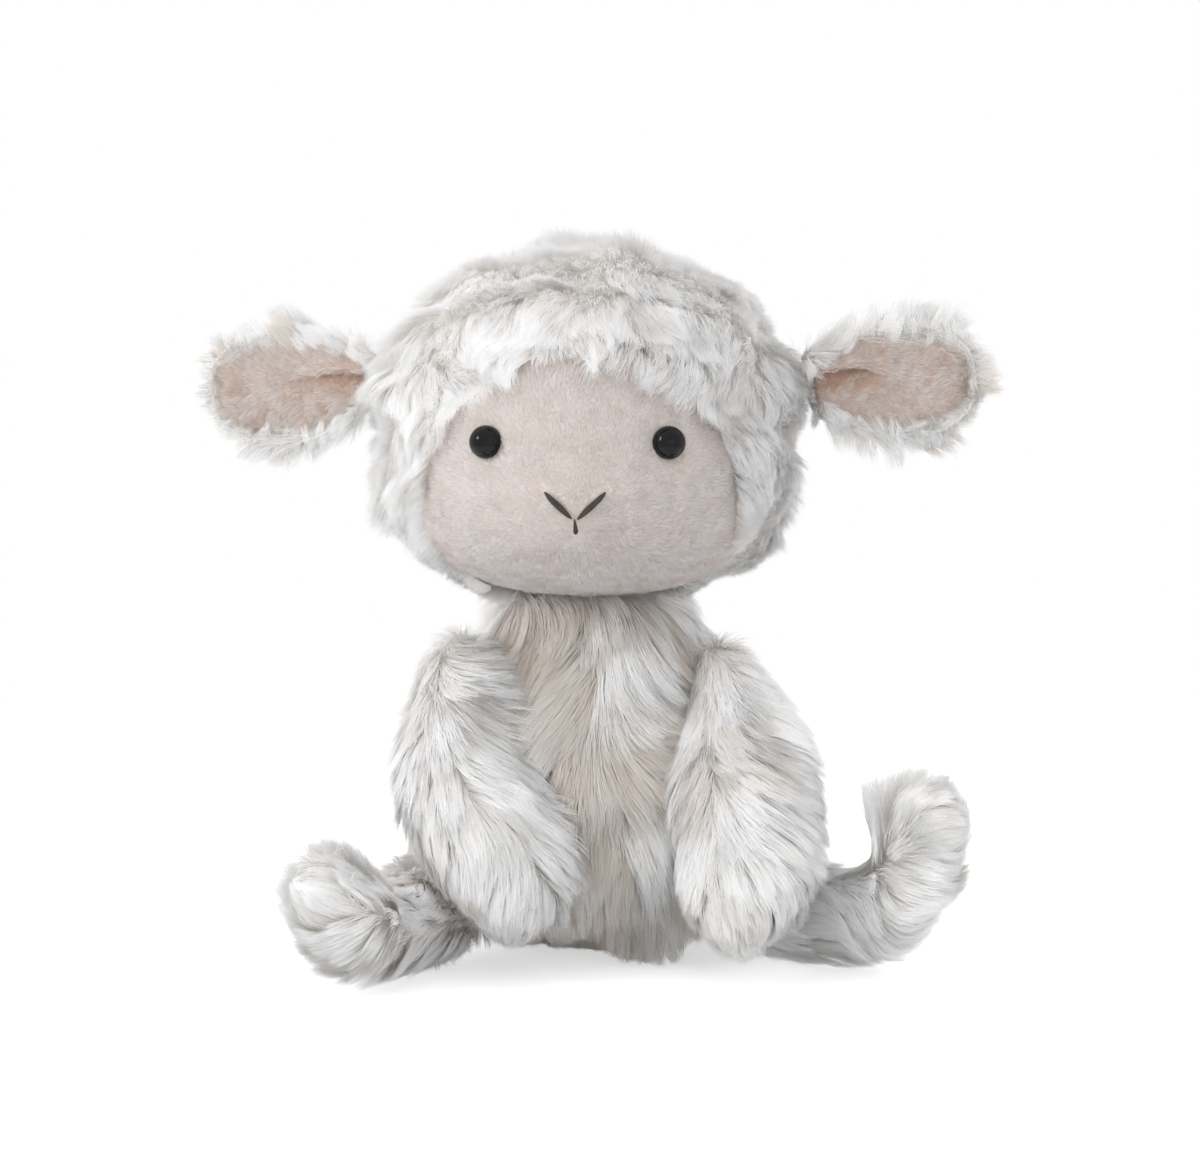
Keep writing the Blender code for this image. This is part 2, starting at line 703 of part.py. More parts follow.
clear_scene()
PARTS = collection("plush_sheep")
CUTTERS = collection("cutters")
SPREAD = BODY_WIDTH + LEG_LENGTH
FLOOR = block("floor_cutter", (-SPREAD, -SPREAD, -OVERRUN), (SPREAD, SPREAD, 0))
soft_form("head_form", head_rings(), BODY_SEGMENTS)

make_body()
joint_empty("head_joint", UP * BODY_HEIGHT, make_head())
for side_name, side_sign in SIDES.items():
    make_ear(side_name, side_sign)
    make_arm(side_name, side_sign)
    make_leg(side_name, side_sign)
make_tail()
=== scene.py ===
"""The looks of the plush sheep: long-pile fur, short face and ear pile, glossy eyes, stitches and filling.

Metres, +Z up, the sheep faces -Y and its own left is +X. Every strand of pile is a thin ribbon that is rooted
in a cloth backing, which lies under the surface that the solid model gives.
"""

import json
import math
from dataclasses import dataclass, replace

import bmesh
import bpy
import numpy as np
from mathutils import Matrix, Vector
from mathutils.kdtree import KDTree


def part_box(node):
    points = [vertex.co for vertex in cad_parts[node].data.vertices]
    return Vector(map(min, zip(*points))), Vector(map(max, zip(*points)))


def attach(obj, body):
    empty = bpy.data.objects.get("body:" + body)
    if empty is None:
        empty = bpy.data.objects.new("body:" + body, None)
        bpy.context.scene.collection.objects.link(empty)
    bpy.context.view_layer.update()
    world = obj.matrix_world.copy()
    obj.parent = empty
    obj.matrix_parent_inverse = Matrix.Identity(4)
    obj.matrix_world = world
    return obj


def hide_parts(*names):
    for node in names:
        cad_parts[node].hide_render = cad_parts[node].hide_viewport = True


# The photograph's view
PHOTO_WIDTH = 1200
PIXEL_SIZE = 0.00028  # metres across one pixel at the face
CAMERA_DISTANCE = 1.0
CAMERA_TARGET = Vector((0.0062, -0.05, 0.1116))
CAMERA_AZIMUTH = 4.0  # degrees
CAMERA_ELEVATION = 6.0  # degrees
SENSOR_WIDTH = 36.0  # millimetres

# Light. Each lamp has its place, its size and its power in watts
WORLD_STRENGTH = (1.32, 0.88)  # on the picture's left and right
LAMPS = {
    "key": (Vector((-1.3, -0.8, 0.85)), 0.4, 6.5),
    "soft": (Vector((-0.7, -1.2, 1.1)), 2.0, 0.5),
    "fill": (Vector((0.60, -1.15, 0.22)), 0.9, 1.0),
    "back": (Vector((0.3, 1.3, 0.9)), 2.0, 4.0),
}
FLOOR_SIZE = 6.0
FLOOR_GAP = 0.0002
FLOOR_GLOW = 0.55
FLOOR_FADE = (0.22, 0.60)  # from the origin: where the floor begins and ends to turn plain white

# Cloth and pile
BACKING_DEPTH = 0.0008
ROOT_RISE = 0.0012  # the roots above the filling's surface
LIMB_SINK = 0.0050  # the roots below a limb's surface
LIMB_END = 0.45  # how much shorter the pile is at a limb's end
EAR_SINK = 0.0020  # the roots below an ear's surface
EAR_UNDER = 0.0004  # how far the ear's backing lies under its pile's roots
VOXEL = 0.0015
EAR_VOXEL = 0.0010
GUSSET_HALF = 0.019  # half the width of the head's middle strip
SEAM_LAPS = 2  # rings of vertices that a backing runs on past its seam
FLOOR_CLEARANCE = 0.0004
HOOD_LUMP = 0.0017  # how far lumps raise the hood's roots
BODY_LUMP = 0.0010  # and those of the body and limbs
BELLY_PAINTED_SHADE = 0.25  # how far the belly's pile is painted darker and warmer, as shade under the head and between the arms
SIDE_OFFSET = 0.006  # moves the two sides of a sheet apart, to tell them from each other
THIN = 1.0  # share of the strands that is made
PIECE_TRIANGLES = 190_000  # the most in one piece of pile

# Columns of a strand's style: how far it departs from its coat's mean
TURN, LENGTH, LIFT, CURL, PHASE, TONE = range(6)

SIDES = {"left": 1.0, "right": -1.0}

# The face's outline: its widest level, how far it goes under the chin, and how square its lower corners are
FACE_LEVEL_SHARE = -0.20
CHIN_CAP = 0.90
JAW_POWER = 2.8
CROWN_TUFT = (-0.020, 0.022)  # the longer pile on the crown, from x to x

# The face's relief and pile
EYE_DENT = (0.0012, 0.0075)  # how deep the face is pressed in round an eye, and how far
EYE_CLEAR = 0.0040  # no pile is rooted nearer than this to an eye's axis
EYE_SHORT = 0.0055  # the pile is short about this near to it
MOUTH_DENT = (0.0007, 0.010, 0.0016)  # the dent under the mouth: its depth, half width and half height
MOUTH_DENT_DROP = 0.0045  # from the lowest stitch down to it
STITCH_SHORT = 0.0013  # the pile is short about this near to a stitch

# Ears
LINING_HALF = 0.0134  # half the height that the lining grows to
LINING_TAPER = 0.0110  # how far from the root it has most of that height
FOLD_LENGTH = 0.031  # how far the fold runs along the ear
FOLD_RISE = 0.0035  # how far its edge arches up
FOLD_DENT = 0.0026  # how deep the lining lies under its edge
FOLD_LIP = 0.0018  # how far its edge stands forward

# Each pile's colours: at the root, darker and warmer as painted shade deep in the pile, in the middle and at
# the tip, and the tint of its darker strands, both for random tone and for painted shade
PILE_COLOURS = {
    "fur": ((0.87, 0.84, 0.81), (0.925, 0.92, 0.912), (0.95, 0.95, 0.952), (0.72, 0.64, 0.56)),
    "face": ((0.70, 0.635, 0.60), (0.81, 0.772, 0.76), (0.86, 0.835, 0.828), (0.84, 0.77, 0.73)),
    "lining": ((0.64, 0.56, 0.51), (0.75, 0.69, 0.655), (0.81, 0.765, 0.74), (0.80, 0.60, 0.48)),
}

# How the pile lies on what faces forward: from x, z to x, z in millimetres
BODY_STROKES = [
    (-16, 105, 3, 98), (6, 97, -9, 92), (-9, 92, -13.5, 80), (-13.5, 80, -13.5, 60), (3.4, 91, -5, 74),
    (-5, 74, -13, 60), (8, 75.6, 4, 66), (4, 66, -9, 54.6), (8.5, 84, 8.5, 74), (11, 77, 30, 78),
    (11, 68.6, 31, 68), (12, 61.6, 30, 56), (17, 104, 22, 85), (6, 52, 3, 15), (11, 52, 17, 15),
    (14.5, 53, 31, 26),
]
ARM_STROKES = {
    "right": [
        (-37, 96, -29, 90), (-29, 90, -14, 90), (-39, 84, -33, 76), (-34, 75, -12, 76), (-42, 70, -36, 60),
        (-38, 60, -8, 60), (-44, 56, -38, 46), (-40, 46, 4, 46), (-46, 40, -38, 15), (-30, 38, -30, 15),
        (-44, 94, -46, 80), (-47, 82, -48, 66), (-50, 66, -51, 48), (-51, 48, -48, 30),
        (-16, 38, -22, 15), (3, 38, -5, 14),
    ],
    "left": [
        (35.6, 101, 44, 103.6), (44, 103.6, 48.7, 96.6), (34, 94, 38, 74), (45, 85, 62, 78),
        (38, 74, 70.6, 52), (38, 63, 66, 38), (35.6, 54.6, 46.8, 26.6), (32, 52, 35.6, 25),
    ],
}
LEG_STROKES = {
    "right": [(-42, 24, -70, 32), (-47, 15, -78, 15)],
    "left": [(74.8, 42, 90, 51.8), (90, 51.8, 104, 49), (74.8, 37.8, 100, 29.4), (72, 33.6, 81.8, 14)],
}

# Where the belly's pile parts and is shorter, and its strands are painted darker and browner as shade in the
# creases: x, z and radius in millimetres
SHADED_PARTINGS = [(27, 96, 5), (31, 86, 4), (-19, 80, 5), (-9, 57, 4), (30, 17, 5), (-20, 98, 4)]
MILLIMETRE = 0.001

STITCHES = ("nose_stitch_left", "nose_stitch_right", "mouth_stitch")
ARM_SEED = 105  # for random draws
LEG_SEED = 125
SEED_STEP = 5
STROKE_REACH = 0.010  # how near a stroke the comb follows it
STRAND_TRANSLUCENCY = 0.3
RIBBON_ROUND = 0.35  # how far the normals of a ribbon's edges lean out
STITCH_RISE = -0.0001  # the threads above the middle of their solid
FACE_RISE = 0.0013  # the face's backing above the hood's
STITCH_SPREAD = 0.0014  # how wide the threads of a stitch lie
STITCH_DROP = 0.0010  # the threads below the middle of their solid
THREAD_RADIUS = 0.00034
MOUTH_THREAD = 0.7  # its thickness beside the nose's


@dataclass
class Coat:
    """How one kind of pile grows. Areas are in square metres, angles in degrees."""

    length: float
    density: float  # strands in a square metre
    lock_area: float
    wisp_area: float
    root_lift: float
    tip_lift: float
    width: float = 0.00017
    curl: float = 0.25  # how far a strand sways to its sides
    fall: float = 0.12  # how far its tip is drawn down
    pull: float = 0.45  # how far a lock draws its wisps together
    wisp_pull: float = 0.4
    turn_spread: float = 24.0
    length_spread: float = 0.16
    lift_spread: float = 6.0
    tone_spread: float = 0.12
    frizz: float = 0.0003  # metres that a strand's tip strays
    roundness: float = 0.3  # how far a lock is shaded as a round tuft
    steps: int = 3
    shading: float = 0.15  # share of the strands that cast shadows: with all of them white pile is grey


@dataclass
class Skin:
    """A triangulated surface with its vertex normals, and the mesh that it was read from."""

    mesh: bpy.types.Mesh
    points: np.ndarray
    normals: np.ndarray
    triangles: np.ndarray


@dataclass
class Pile:
    """Strands: their roots, their ribbons' corners, the way each corner faces, and each strand's tone."""

    roots: np.ndarray
    corners: np.ndarray
    facing: np.ndarray
    tone: np.ndarray


HEAD_COAT = Coat(
    0.0115, 6.2e6, 70e-6, 5.0e-6, 56, 18, width=0.00014, curl=0.22, pull=0.10, wisp_pull=0.24, turn_spread=7,
    length_spread=0.06, lift_spread=4, tone_spread=0.05, frizz=0.0005, roundness=0.10, shading=0.06,
)
BODY_COAT = Coat(
    0.0210, 4.6e6, 160e-6, 8.0e-6, 48, 4, width=0.00017, curl=0.08, fall=0.20, pull=0.18, wisp_pull=0.32,
    turn_spread=5, length_spread=0.08, lift_spread=4, tone_spread=0.09, steps=4, shading=0.42,
)
LIMB_COAT = Coat(
    0.0165, 5.0e6, 140e-6, 7.0e-6, 46, 3, width=0.00016, curl=0.08, fall=0.10, pull=0.16, wisp_pull=0.30,
    turn_spread=5, length_spread=0.08, lift_spread=4, tone_spread=0.08, shading=0.28,
)
LEG_COAT = replace(LIMB_COAT, shading=0.10)
EAR_COAT = Coat(
    0.0088, 9.0e6, 45e-6, 4.0e-6, 50, 12, width=0.00015, curl=0.16, fall=0.02, pull=0.26, wisp_pull=0.24,
    turn_spread=9, length_spread=0.12, lift_spread=5, frizz=0.0004,
)
TAIL_COAT = Coat(0.0125, 4.6e6, 60e-6, 5.0e-6, 60, 20, pull=0.2, wisp_pull=0.3, turn_spread=10)
FACE_COAT = Coat(
    0.0018, 11.0e6, 12e-6, 1.6e-6, 58, 24, width=0.00012, curl=0.12, fall=0.0, pull=0.05, wisp_pull=0.12,
    turn_spread=7, length_spread=0.06, tone_spread=0.06, frizz=0.00008, roundness=0.12, steps=2,
)
LINING_COAT = Coat(
    0.0022, 10.0e6, 12e-6, 1.8e-6, 50, 16, width=0.00012, curl=0.12, fall=0.0, pull=0.10, wisp_pull=0.2,
    turn_spread=9, length_spread=0.12, tone_spread=0.10, frizz=0.00008, roundness=0.25, steps=2,
)


# Arrays


def unit(vectors):
    return vectors / np.maximum(np.linalg.norm(vectors, axis=-1, keepdims=True), 1e-12)


def dot(a, b):
    return (a * b).sum(-1, keepdims=True)


def smoothstep(low, high, values):
    share = np.clip((values - low) / (high - low), 0.0, 1.0)
    return share * share * (3.0 - 2.0 * share)


def flattened(vectors, normals):
    """The part of each vector that lies in the surface, as a unit vector."""
    return unit(vectors - normals * dot(vectors, normals))


def turned(vectors, normals, angles):
    """Vectors in the surface, turned about its normals by angles in radians."""
    angles = angles[:, None]
    return vectors * np.cos(angles) + np.cross(normals, vectors) * np.sin(angles)


def waves(points, seed, size, count=9):
    """Smooth noise of about -1 to 1, whose bumps are about size across."""
    rng = np.random.default_rng(seed)
    directions = unit(rng.normal(size=(count, 3)))
    lengths = 2.0 * size * rng.uniform(0.7, 1.7, (count, 1))
    phases = rng.uniform(0.0, math.tau, count)
    return np.sin(points @ (directions / lengths).T * math.tau + phases).sum(1) / math.sqrt(count)


def nearest(points, normals, chosen):
    """For each root, which of some chosen ones is nearest on its own side of a thin sheet."""
    points = points + normals * SIDE_OFFSET
    guides = points[chosen]
    tree = KDTree(len(guides))
    for index, guide in enumerate(guides):
        tree.insert(guide, index)
    tree.balance()
    return np.array([tree.find(point)[1] for point in points])


# Meshes


def read_skin(mesh):
    points = np.empty(len(mesh.vertices) * 3)
    normals = np.empty(len(mesh.vertices) * 3)
    mesh.vertices.foreach_get("co", points)
    mesh.vertex_normals.foreach_get("vector", normals)
    mesh.calc_loop_triangles()
    triangles = np.empty(len(mesh.loop_triangles) * 3, dtype=np.int32)
    mesh.loop_triangles.foreach_get("vertices", triangles)
    return Skin(mesh, points.reshape(-1, 3), normals.reshape(-1, 3), triangles.reshape(-1, 3))


def applied(mesh, *modifiers):
    """A mesh with some modifiers applied. Each is its type and its settings."""
    obj = bpy.data.objects.new("work", mesh)
    bpy.context.scene.collection.objects.link(obj)
    for kind, settings in modifiers:
        modifier = obj.modifiers.new(kind.lower(), kind)
        for name, value in settings.items():
            setattr(modifier, name, value)
    graph = bpy.context.evaluated_depsgraph_get()
    made = bpy.data.meshes.new_from_object(obj.evaluated_get(graph))
    bpy.data.objects.remove(obj)
    return made


def joined(nodes, hull=False):
    """The solids of some nodes as one mesh, or their convex hull."""
    bm = bmesh.new()
    for node in nodes:
        bm.from_mesh(frame["nodes"][node].data)
    if hull:
        made = bmesh.ops.convex_hull(bm, input=bm.verts)
        inner = [v for v in bm.verts if not any(f in made["geom"] for f in v.link_faces)]
        bmesh.ops.delete(bm, geom=inner, context="VERTS")
        loose = [f for f in bm.faces if f not in set(made["geom"])]
        bmesh.ops.delete(bm, geom=loose, context="FACES_ONLY")
    mesh = bpy.data.meshes.new("joined")
    bm.to_mesh(mesh)
    bm.free()
    return mesh


def outer_shell(mesh):
    """Leaves the largest connected part of a mesh: a remesh also walls the gaps between solids."""
    bm = bmesh.new()
    bm.from_mesh(mesh)
    shells = []
    reached = set()
    for start in bm.verts:
        if start in reached:
            continue
        reached.add(start)
        shell = [start]
        for vertex in shell:
            for edge in vertex.link_edges:
                other = edge.other_vert(vertex)
                if other not in reached:
                    reached.add(other)
                    shell.append(other)
        shells.append(shell)
    shells.sort(key=len)
    for shell in shells[:-1]:
        bmesh.ops.delete(bm, geom=shell, context="VERTS")
    bm.to_mesh(mesh)
    bm.free()
    return mesh


def make_skin(nodes, voxel, rounds, sink, hull=False):
    """One smooth surface over some nodes, sunk along its normals to where the pile is rooted."""
    remesh = ("REMESH", {"mode": "VOXEL", "voxel_size": voxel})
    smooth = ("SMOOTH", {"iterations": rounds, "factor": 0.5})
    skin = read_skin(outer_shell(applied(joined(nodes, hull), remesh, smooth)))
    move(skin, skin.normals * -sink)
    return read_skin(skin.mesh)


def move(skin, offsets):
    skin.points = skin.points + offsets
    skin.mesh.vertices.foreach_set("co", skin.points.ravel())
    skin.mesh.update()


def finished(name, mesh, material, body, nodes=()):
    """A mesh as a piece of the sheep."""
    obj = bpy.data.objects.new(name, mesh)
    bpy.context.scene.collection.objects.link(obj)
    mesh.materials.clear()
    mesh.materials.append(material)
    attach(obj, body)
    if nodes:
        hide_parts(*nodes)
    return obj


def cloth(name, skin, keep, material, body, nodes, laps=SEAM_LAPS):
    """The backing under the kept vertices of a skin: a thin closed sheet, lapped past its seams."""
    keep = keep.copy()
    for lap in range(laps):
        keep[skin.triangles[keep[skin.triangles].any(1)]] = True
    bm = bmesh.new()
    bm.from_mesh(skin.mesh)
    bm.verts.ensure_lookup_table()
    outside = [bm.verts[i] for i in np.flatnonzero(~keep)]
    bmesh.ops.delete(bm, geom=outside, context="VERTS")
    mesh = bpy.data.meshes.new(name)
    bm.to_mesh(mesh)
    bm.free()
    solidify = {"thickness": BACKING_DEPTH, "offset": -1.0, "use_even_offset": False}
    sheet = applied(mesh, ("SOLIDIFY", solidify))
    return finished(name, sheet, material, body, nodes)


def swollen(skin, seed, size, height):
    """A copy of a skin, raised in soft lumps."""
    copy = read_skin(skin.mesh.copy())
    move(copy, copy.normals * (waves(copy.points, seed, size)[:, None] + 0.6) * height)
    return read_skin(copy.mesh)


# Pile


def sample(skin, density, rng):
    """Roots spread evenly over a skin, with their normals."""
    a, b, c = (skin.points[skin.triangles[:, i]] for i in range(3))
    areas = np.linalg.norm(np.cross(b - a, c - a), axis=1) / 2.0
    count = int(areas.sum() * density)
    chosen = skin.triangles[rng.choice(len(areas), count, p=areas / areas.sum())]
    u, v = rng.random((2, count))
    over = u + v > 1.0
    u[over] = 1.0 - u[over]
    v[over] = 1.0 - v[over]
    weights = np.stack([1.0 - u - v, u, v], axis=1)[:, :, None]
    points = (skin.points[chosen] * weights).sum(1)
    return points, unit((skin.normals[chosen] * weights).sum(1))


def draw_style(count, coat, rng, share):
    """Random departures from the coat's mean, of some share of its spread."""
    spread = np.zeros(6)
    spread[TURN] = math.radians(coat.turn_spread)
    spread[LENGTH] = coat.length_spread
    spread[LIFT] = math.radians(coat.lift_spread)
    spread[CURL] = 0.5
    spread[PHASE] = 1.2
    spread[TONE] = coat.tone_spread
    return np.clip(rng.normal(size=(count, 6)), -2.2, 2.2) * spread * share


def grow_paths(roots, normals, comb, style, coat, field):
    """Points along strands, which leave the skin steeply, follow the comb and lie down towards their tips."""
    length = coat.length * field["length"] * np.maximum(0.35, 1.0 + style[:, LENGTH])
    points = [roots]
    for step in range(coat.steps):
        heading = turned(comb(points[-1], normals), normals, style[:, TURN] + field["turn"])
        across = np.cross(normals, heading)
        share = (step + 0.5) / coat.steps
        lean = math.radians(coat.root_lift + (coat.tip_lift - coat.root_lift) * share**0.55)
        angle = (lean + style[:, LIFT] + field["lift"] * share)[:, None]
        bend = np.sin(style[:, PHASE] * 3.0 + 4.2 * share) * coat.curl * (1.0 + style[:, CURL])
        course = heading * np.cos(angle) + normals * np.sin(angle) + across * bend[:, None]
        course[:, 2] -= (coat.fall + field.get("fall", 0.0)) * share * (1.0 - np.abs(normals[:, 2]) * 0.5)
        points.append(points[-1] + unit(course) * (length / coat.steps)[:, None])
    return np.stack(points, axis=1)


def drawn_together(paths, owners, owner_paths, pull):
    """Strands drawn towards their lock's leader, more so towards the tip, where both run alike."""
    leaders = owner_paths[owners]
    share = np.linspace(0.0, 1.0, paths.shape[1])[None, :, None]
    alike = dot(unit(paths[:, -1] - paths[:, 0]), unit(leaders[:, -1] - leaders[:, 0]))
    return paths + (leaders - paths) * pull * smoothstep(0.4, 0.9, alike)[:, None] * share**1.3


def ribbons(paths, outward, widths, rng):
    """The corners of a ribbon along each strand, flat side out, that ends in a point, and how they face."""
    along = np.empty_like(paths)
    along[:, 1:-1] = paths[:, 2:] - paths[:, :-2]
    along[:, 0] = paths[:, 1] - paths[:, 0]
    along[:, -1] = paths[:, -1] - paths[:, -2]
    along = unit(along)
    across = unit(np.cross(along, outward))
    rise = np.cross(across, along)
    twist = rng.uniform(-0.2, 0.2, (len(paths), 1, 1))
    across = across * np.cos(twist) + rise * np.sin(twist)
    half = across * widths[:, :, None] / 2.0
    corners = np.stack([paths - half, paths + half], axis=2)[:, :-1].reshape(len(paths), -1, 3)
    edge = across * RIBBON_ROUND
    facing = np.stack([outward - edge, outward + edge], axis=2)[:, :-1].reshape(len(paths), -1, 3)
    corners = np.concatenate([corners, paths[:, -1:]], axis=1)
    return corners, unit(np.concatenate([facing, outward[:, -1:]], axis=1))


def ribbon_mesh(name, corners, facing, tone, steps):
    """Ribbons as one mesh, with each corner's normal, tone and place along its strand."""
    count, per_strand = corners.shape[:2]
    mesh = bpy.data.meshes.new(name)
    mesh.vertices.add(count * per_strand)
    mesh.vertices.foreach_set("co", corners.astype(np.float32).ravel())
    pattern = []
    for step in range(steps - 1):
        low = step * 2
        pattern += [low, low + 1, low + 3, low + 2]
    pattern += [per_strand - 3, per_strand - 2, per_strand - 1]
    starts = np.arange(steps) * 4 + np.arange(count)[:, None] * len(pattern)
    loops = (np.arange(count)[:, None] * per_strand + np.array(pattern)).ravel()
    mesh.loops.add(len(loops))
    mesh.loops.foreach_set("vertex_index", loops.astype(np.int32))
    mesh.polygons.add(count * steps)
    mesh.polygons.foreach_set("loop_start", starts.ravel().astype(np.int32))
    mesh.update(calc_edges=True)
    share = np.append(np.repeat(np.arange(steps), 2), steps) / steps
    values = {"tone": np.repeat(tone, per_strand), "along": np.tile(share, count)}
    for key, data in values.items():
        mesh.attributes.new(key, "FLOAT", "POINT").data.foreach_set("value", data.astype(np.float32))
    normals = mesh.attributes.new("custom_normal", "FLOAT_VECTOR", "POINT")
    normals.data.foreach_set("vector", facing.astype(np.float32).ravel())
    side = np.append(np.tile([-0.004, 0.004], steps), 0.0)
    u = np.repeat(tone, per_strand) * 0.98 + 0.01 + np.tile(side, count)
    uv = np.stack([u, np.tile(share * 0.98 + 0.01, count)], axis=1)[loops]
    mesh.uv_layers.new(name="OFBake").uv.foreach_set("vector", uv.astype(np.float32).ravel())
    return mesh


def grow(skin, coat, seed, comb, field=None, keep=None):
    """The strands of one coat: roots, paths, the way each faces, and its tone."""
    rng = np.random.default_rng(seed)
    roots, normals = sample(skin, coat.density * THIN, rng)
    if keep is not None:
        kept = keep(roots, normals)
        roots, normals = roots[kept], normals[kept]
    field = field or plain_field
    area = len(roots) / (coat.density * THIN)
    order = rng.permutation(len(roots))
    locks = order[: max(3, int(area / coat.lock_area))]
    wisps = order[: max(6, int(area / coat.wisp_area))]
    lock_style = draw_style(len(locks), coat, rng, 1.0)
    lock_style[:, PHASE] += rng.uniform(0.0, math.tau, len(locks))
    lock_paths = grow_paths(
        roots[locks], normals[locks], comb, lock_style, coat, field(roots[locks], normals[locks])
    )
    lock_of = nearest(roots, normals, locks)
    wisp_lock = lock_of[wisps]
    wisp_style = lock_style[wisp_lock] + draw_style(len(wisps), coat, rng, 0.38)
    wisp_paths = grow_paths(
        roots[wisps], normals[wisps], comb, wisp_style, coat, field(roots[wisps], normals[wisps])
    )
    wisp_paths = drawn_together(wisp_paths, wisp_lock, lock_paths, coat.pull)
    owner = nearest(roots, normals, wisps)
    style = wisp_style[owner] + draw_style(len(roots), coat, rng, 0.30)
    paths = grow_paths(roots, normals, comb, style, coat, field(roots, normals))
    lock_of = wisp_lock[owner]
    paths = drawn_together(paths, lock_of, lock_paths, coat.pull * 0.9)
    paths = drawn_together(paths, owner, wisp_paths, coat.wisp_pull)
    share = np.linspace(0.0, 1.0, coat.steps + 1)
    paths += rng.normal(size=paths.shape) * coat.frizz * share[None, :, None]
    paths[:, :, 2] = np.maximum(paths[:, :, 2], FLOOR_CLEARANCE + rng.random((len(paths), 1)) * 0.0012)
    radius = math.sqrt(coat.lock_area / math.pi)
    outward = normals[:, None] + (paths - lock_paths[lock_of]) * (coat.roundness / radius)
    tone = np.clip(0.5 + style[:, TONE] + field(roots, normals).get("tone", 0.0), 0.0, 1.0)
    widths = coat.width * (1.0 - 0.6 * share[None, :] ** 2) * rng.uniform(0.8, 1.2, (len(roots), 1))
    return Pile(roots, *ribbons(paths, unit(outward), widths, rng), tone)


def plain_field(roots, normals):
    still = np.zeros(len(roots))
    return {"turn": still, "lift": still, "length": still + 1.0}


def piles(coat, grown, parts, material, body):
    """Pieces of pile for each part of a skin: its name, the test on its roots, and its nodes."""
    for name, test, nodes in parts:
        kept = np.flatnonzero(test(grown.roots)) if test else np.arange(len(grown.roots))
        shading, plain = np.split(kept, [int(len(kept) * coat.shading)])
        pieces = math.ceil(len(plain) * (2 * coat.steps - 1) / PIECE_TRIANGLES)
        for index, held in enumerate([shading, *np.array_split(plain, pieces)]):
            piece = f"{name}_{index}"
            mesh = ribbon_mesh(piece, grown.corners[held], grown.facing[held], grown.tone[held], coat.steps)
            finished(piece, mesh, material, body, nodes).visible_shadow = index == 0


def away_from(anchor):
    """A comb that runs from an anchor over the surface."""
    def comb(roots, normals):
        return flattened(roots - np.array(anchor), normals)

    return comb


def stroked(comb, strokes):
    """A comb that follows strokes near them, on what faces forward."""
    strokes = np.array(strokes) * MILLIMETRE
    starts, courses = strokes[:, :2], strokes[:, 2:] - strokes[:, :2]

    def drawn(roots, normals):
        from_start = roots[:, None, [0, 2]] - starts
        share = np.clip((from_start * courses).sum(2) / (courses**2).sum(1), 0.0, 1.0)
        gap = np.linalg.norm(from_start - share[:, :, None] * courses, axis=2)
        weight = np.exp(-((gap / STROKE_REACH) ** 2)) * smoothstep(0.0, 0.5, -normals[:, 1:2])
        flat = (weight[:, :, None] * unit(courses)).sum(1)
        course = np.stack([flat[:, 0], np.zeros(len(roots)), flat[:, 1]], axis=1)
        rest = np.clip(1.0 - weight.sum(1, keepdims=True), 0.2, 1.0)
        return flattened(course + comb(roots, normals) * rest, normals)

    return drawn


# Materials


def new_material(name):
    material = bpy.data.materials.new(name)
    material.use_nodes = True
    nodes = material.node_tree.nodes
    return material, nodes, material.node_tree.links, nodes["Principled BSDF"]


def ramp(nodes, stops):
    node = nodes.new("ShaderNodeValToRGB")
    elements = node.color_ramp.elements
    while len(elements) < len(stops):
        elements.new(0.5)
    for element, (place, colour) in zip(elements, stops):
        element.position = place
        element.color = (*colour, 1.0)
    return node


def mixed(nodes, links, factor, first, second):
    """One shader that goes over into another by a number or by a node's output."""
    mix = nodes.new("ShaderNodeMixShader")
    if isinstance(factor, float):
        mix.inputs[0].default_value = factor
    else:
        links.new(factor, mix.inputs[0])
    links.new(first.outputs[0], mix.inputs[1])
    links.new(second.outputs[0], mix.inputs[2])
    return mix


def blotched(nodes, links, shader, scale, detail, stops):
    """Colours a shader by noise that is fixed to the object, and returns the noise."""
    place = nodes.new("ShaderNodeTexCoord")
    noise = nodes.new("ShaderNodeTexNoise")
    noise.inputs["Scale"].default_value = scale
    noise.inputs["Detail"].default_value = detail
    links.new(place.outputs["Object"], noise.inputs["Vector"])
    colour = ramp(nodes, stops)
    links.new(noise.outputs["Fac"], colour.inputs["Fac"])
    links.new(colour.outputs["Color"], shader.inputs["Base Color"])
    return noise


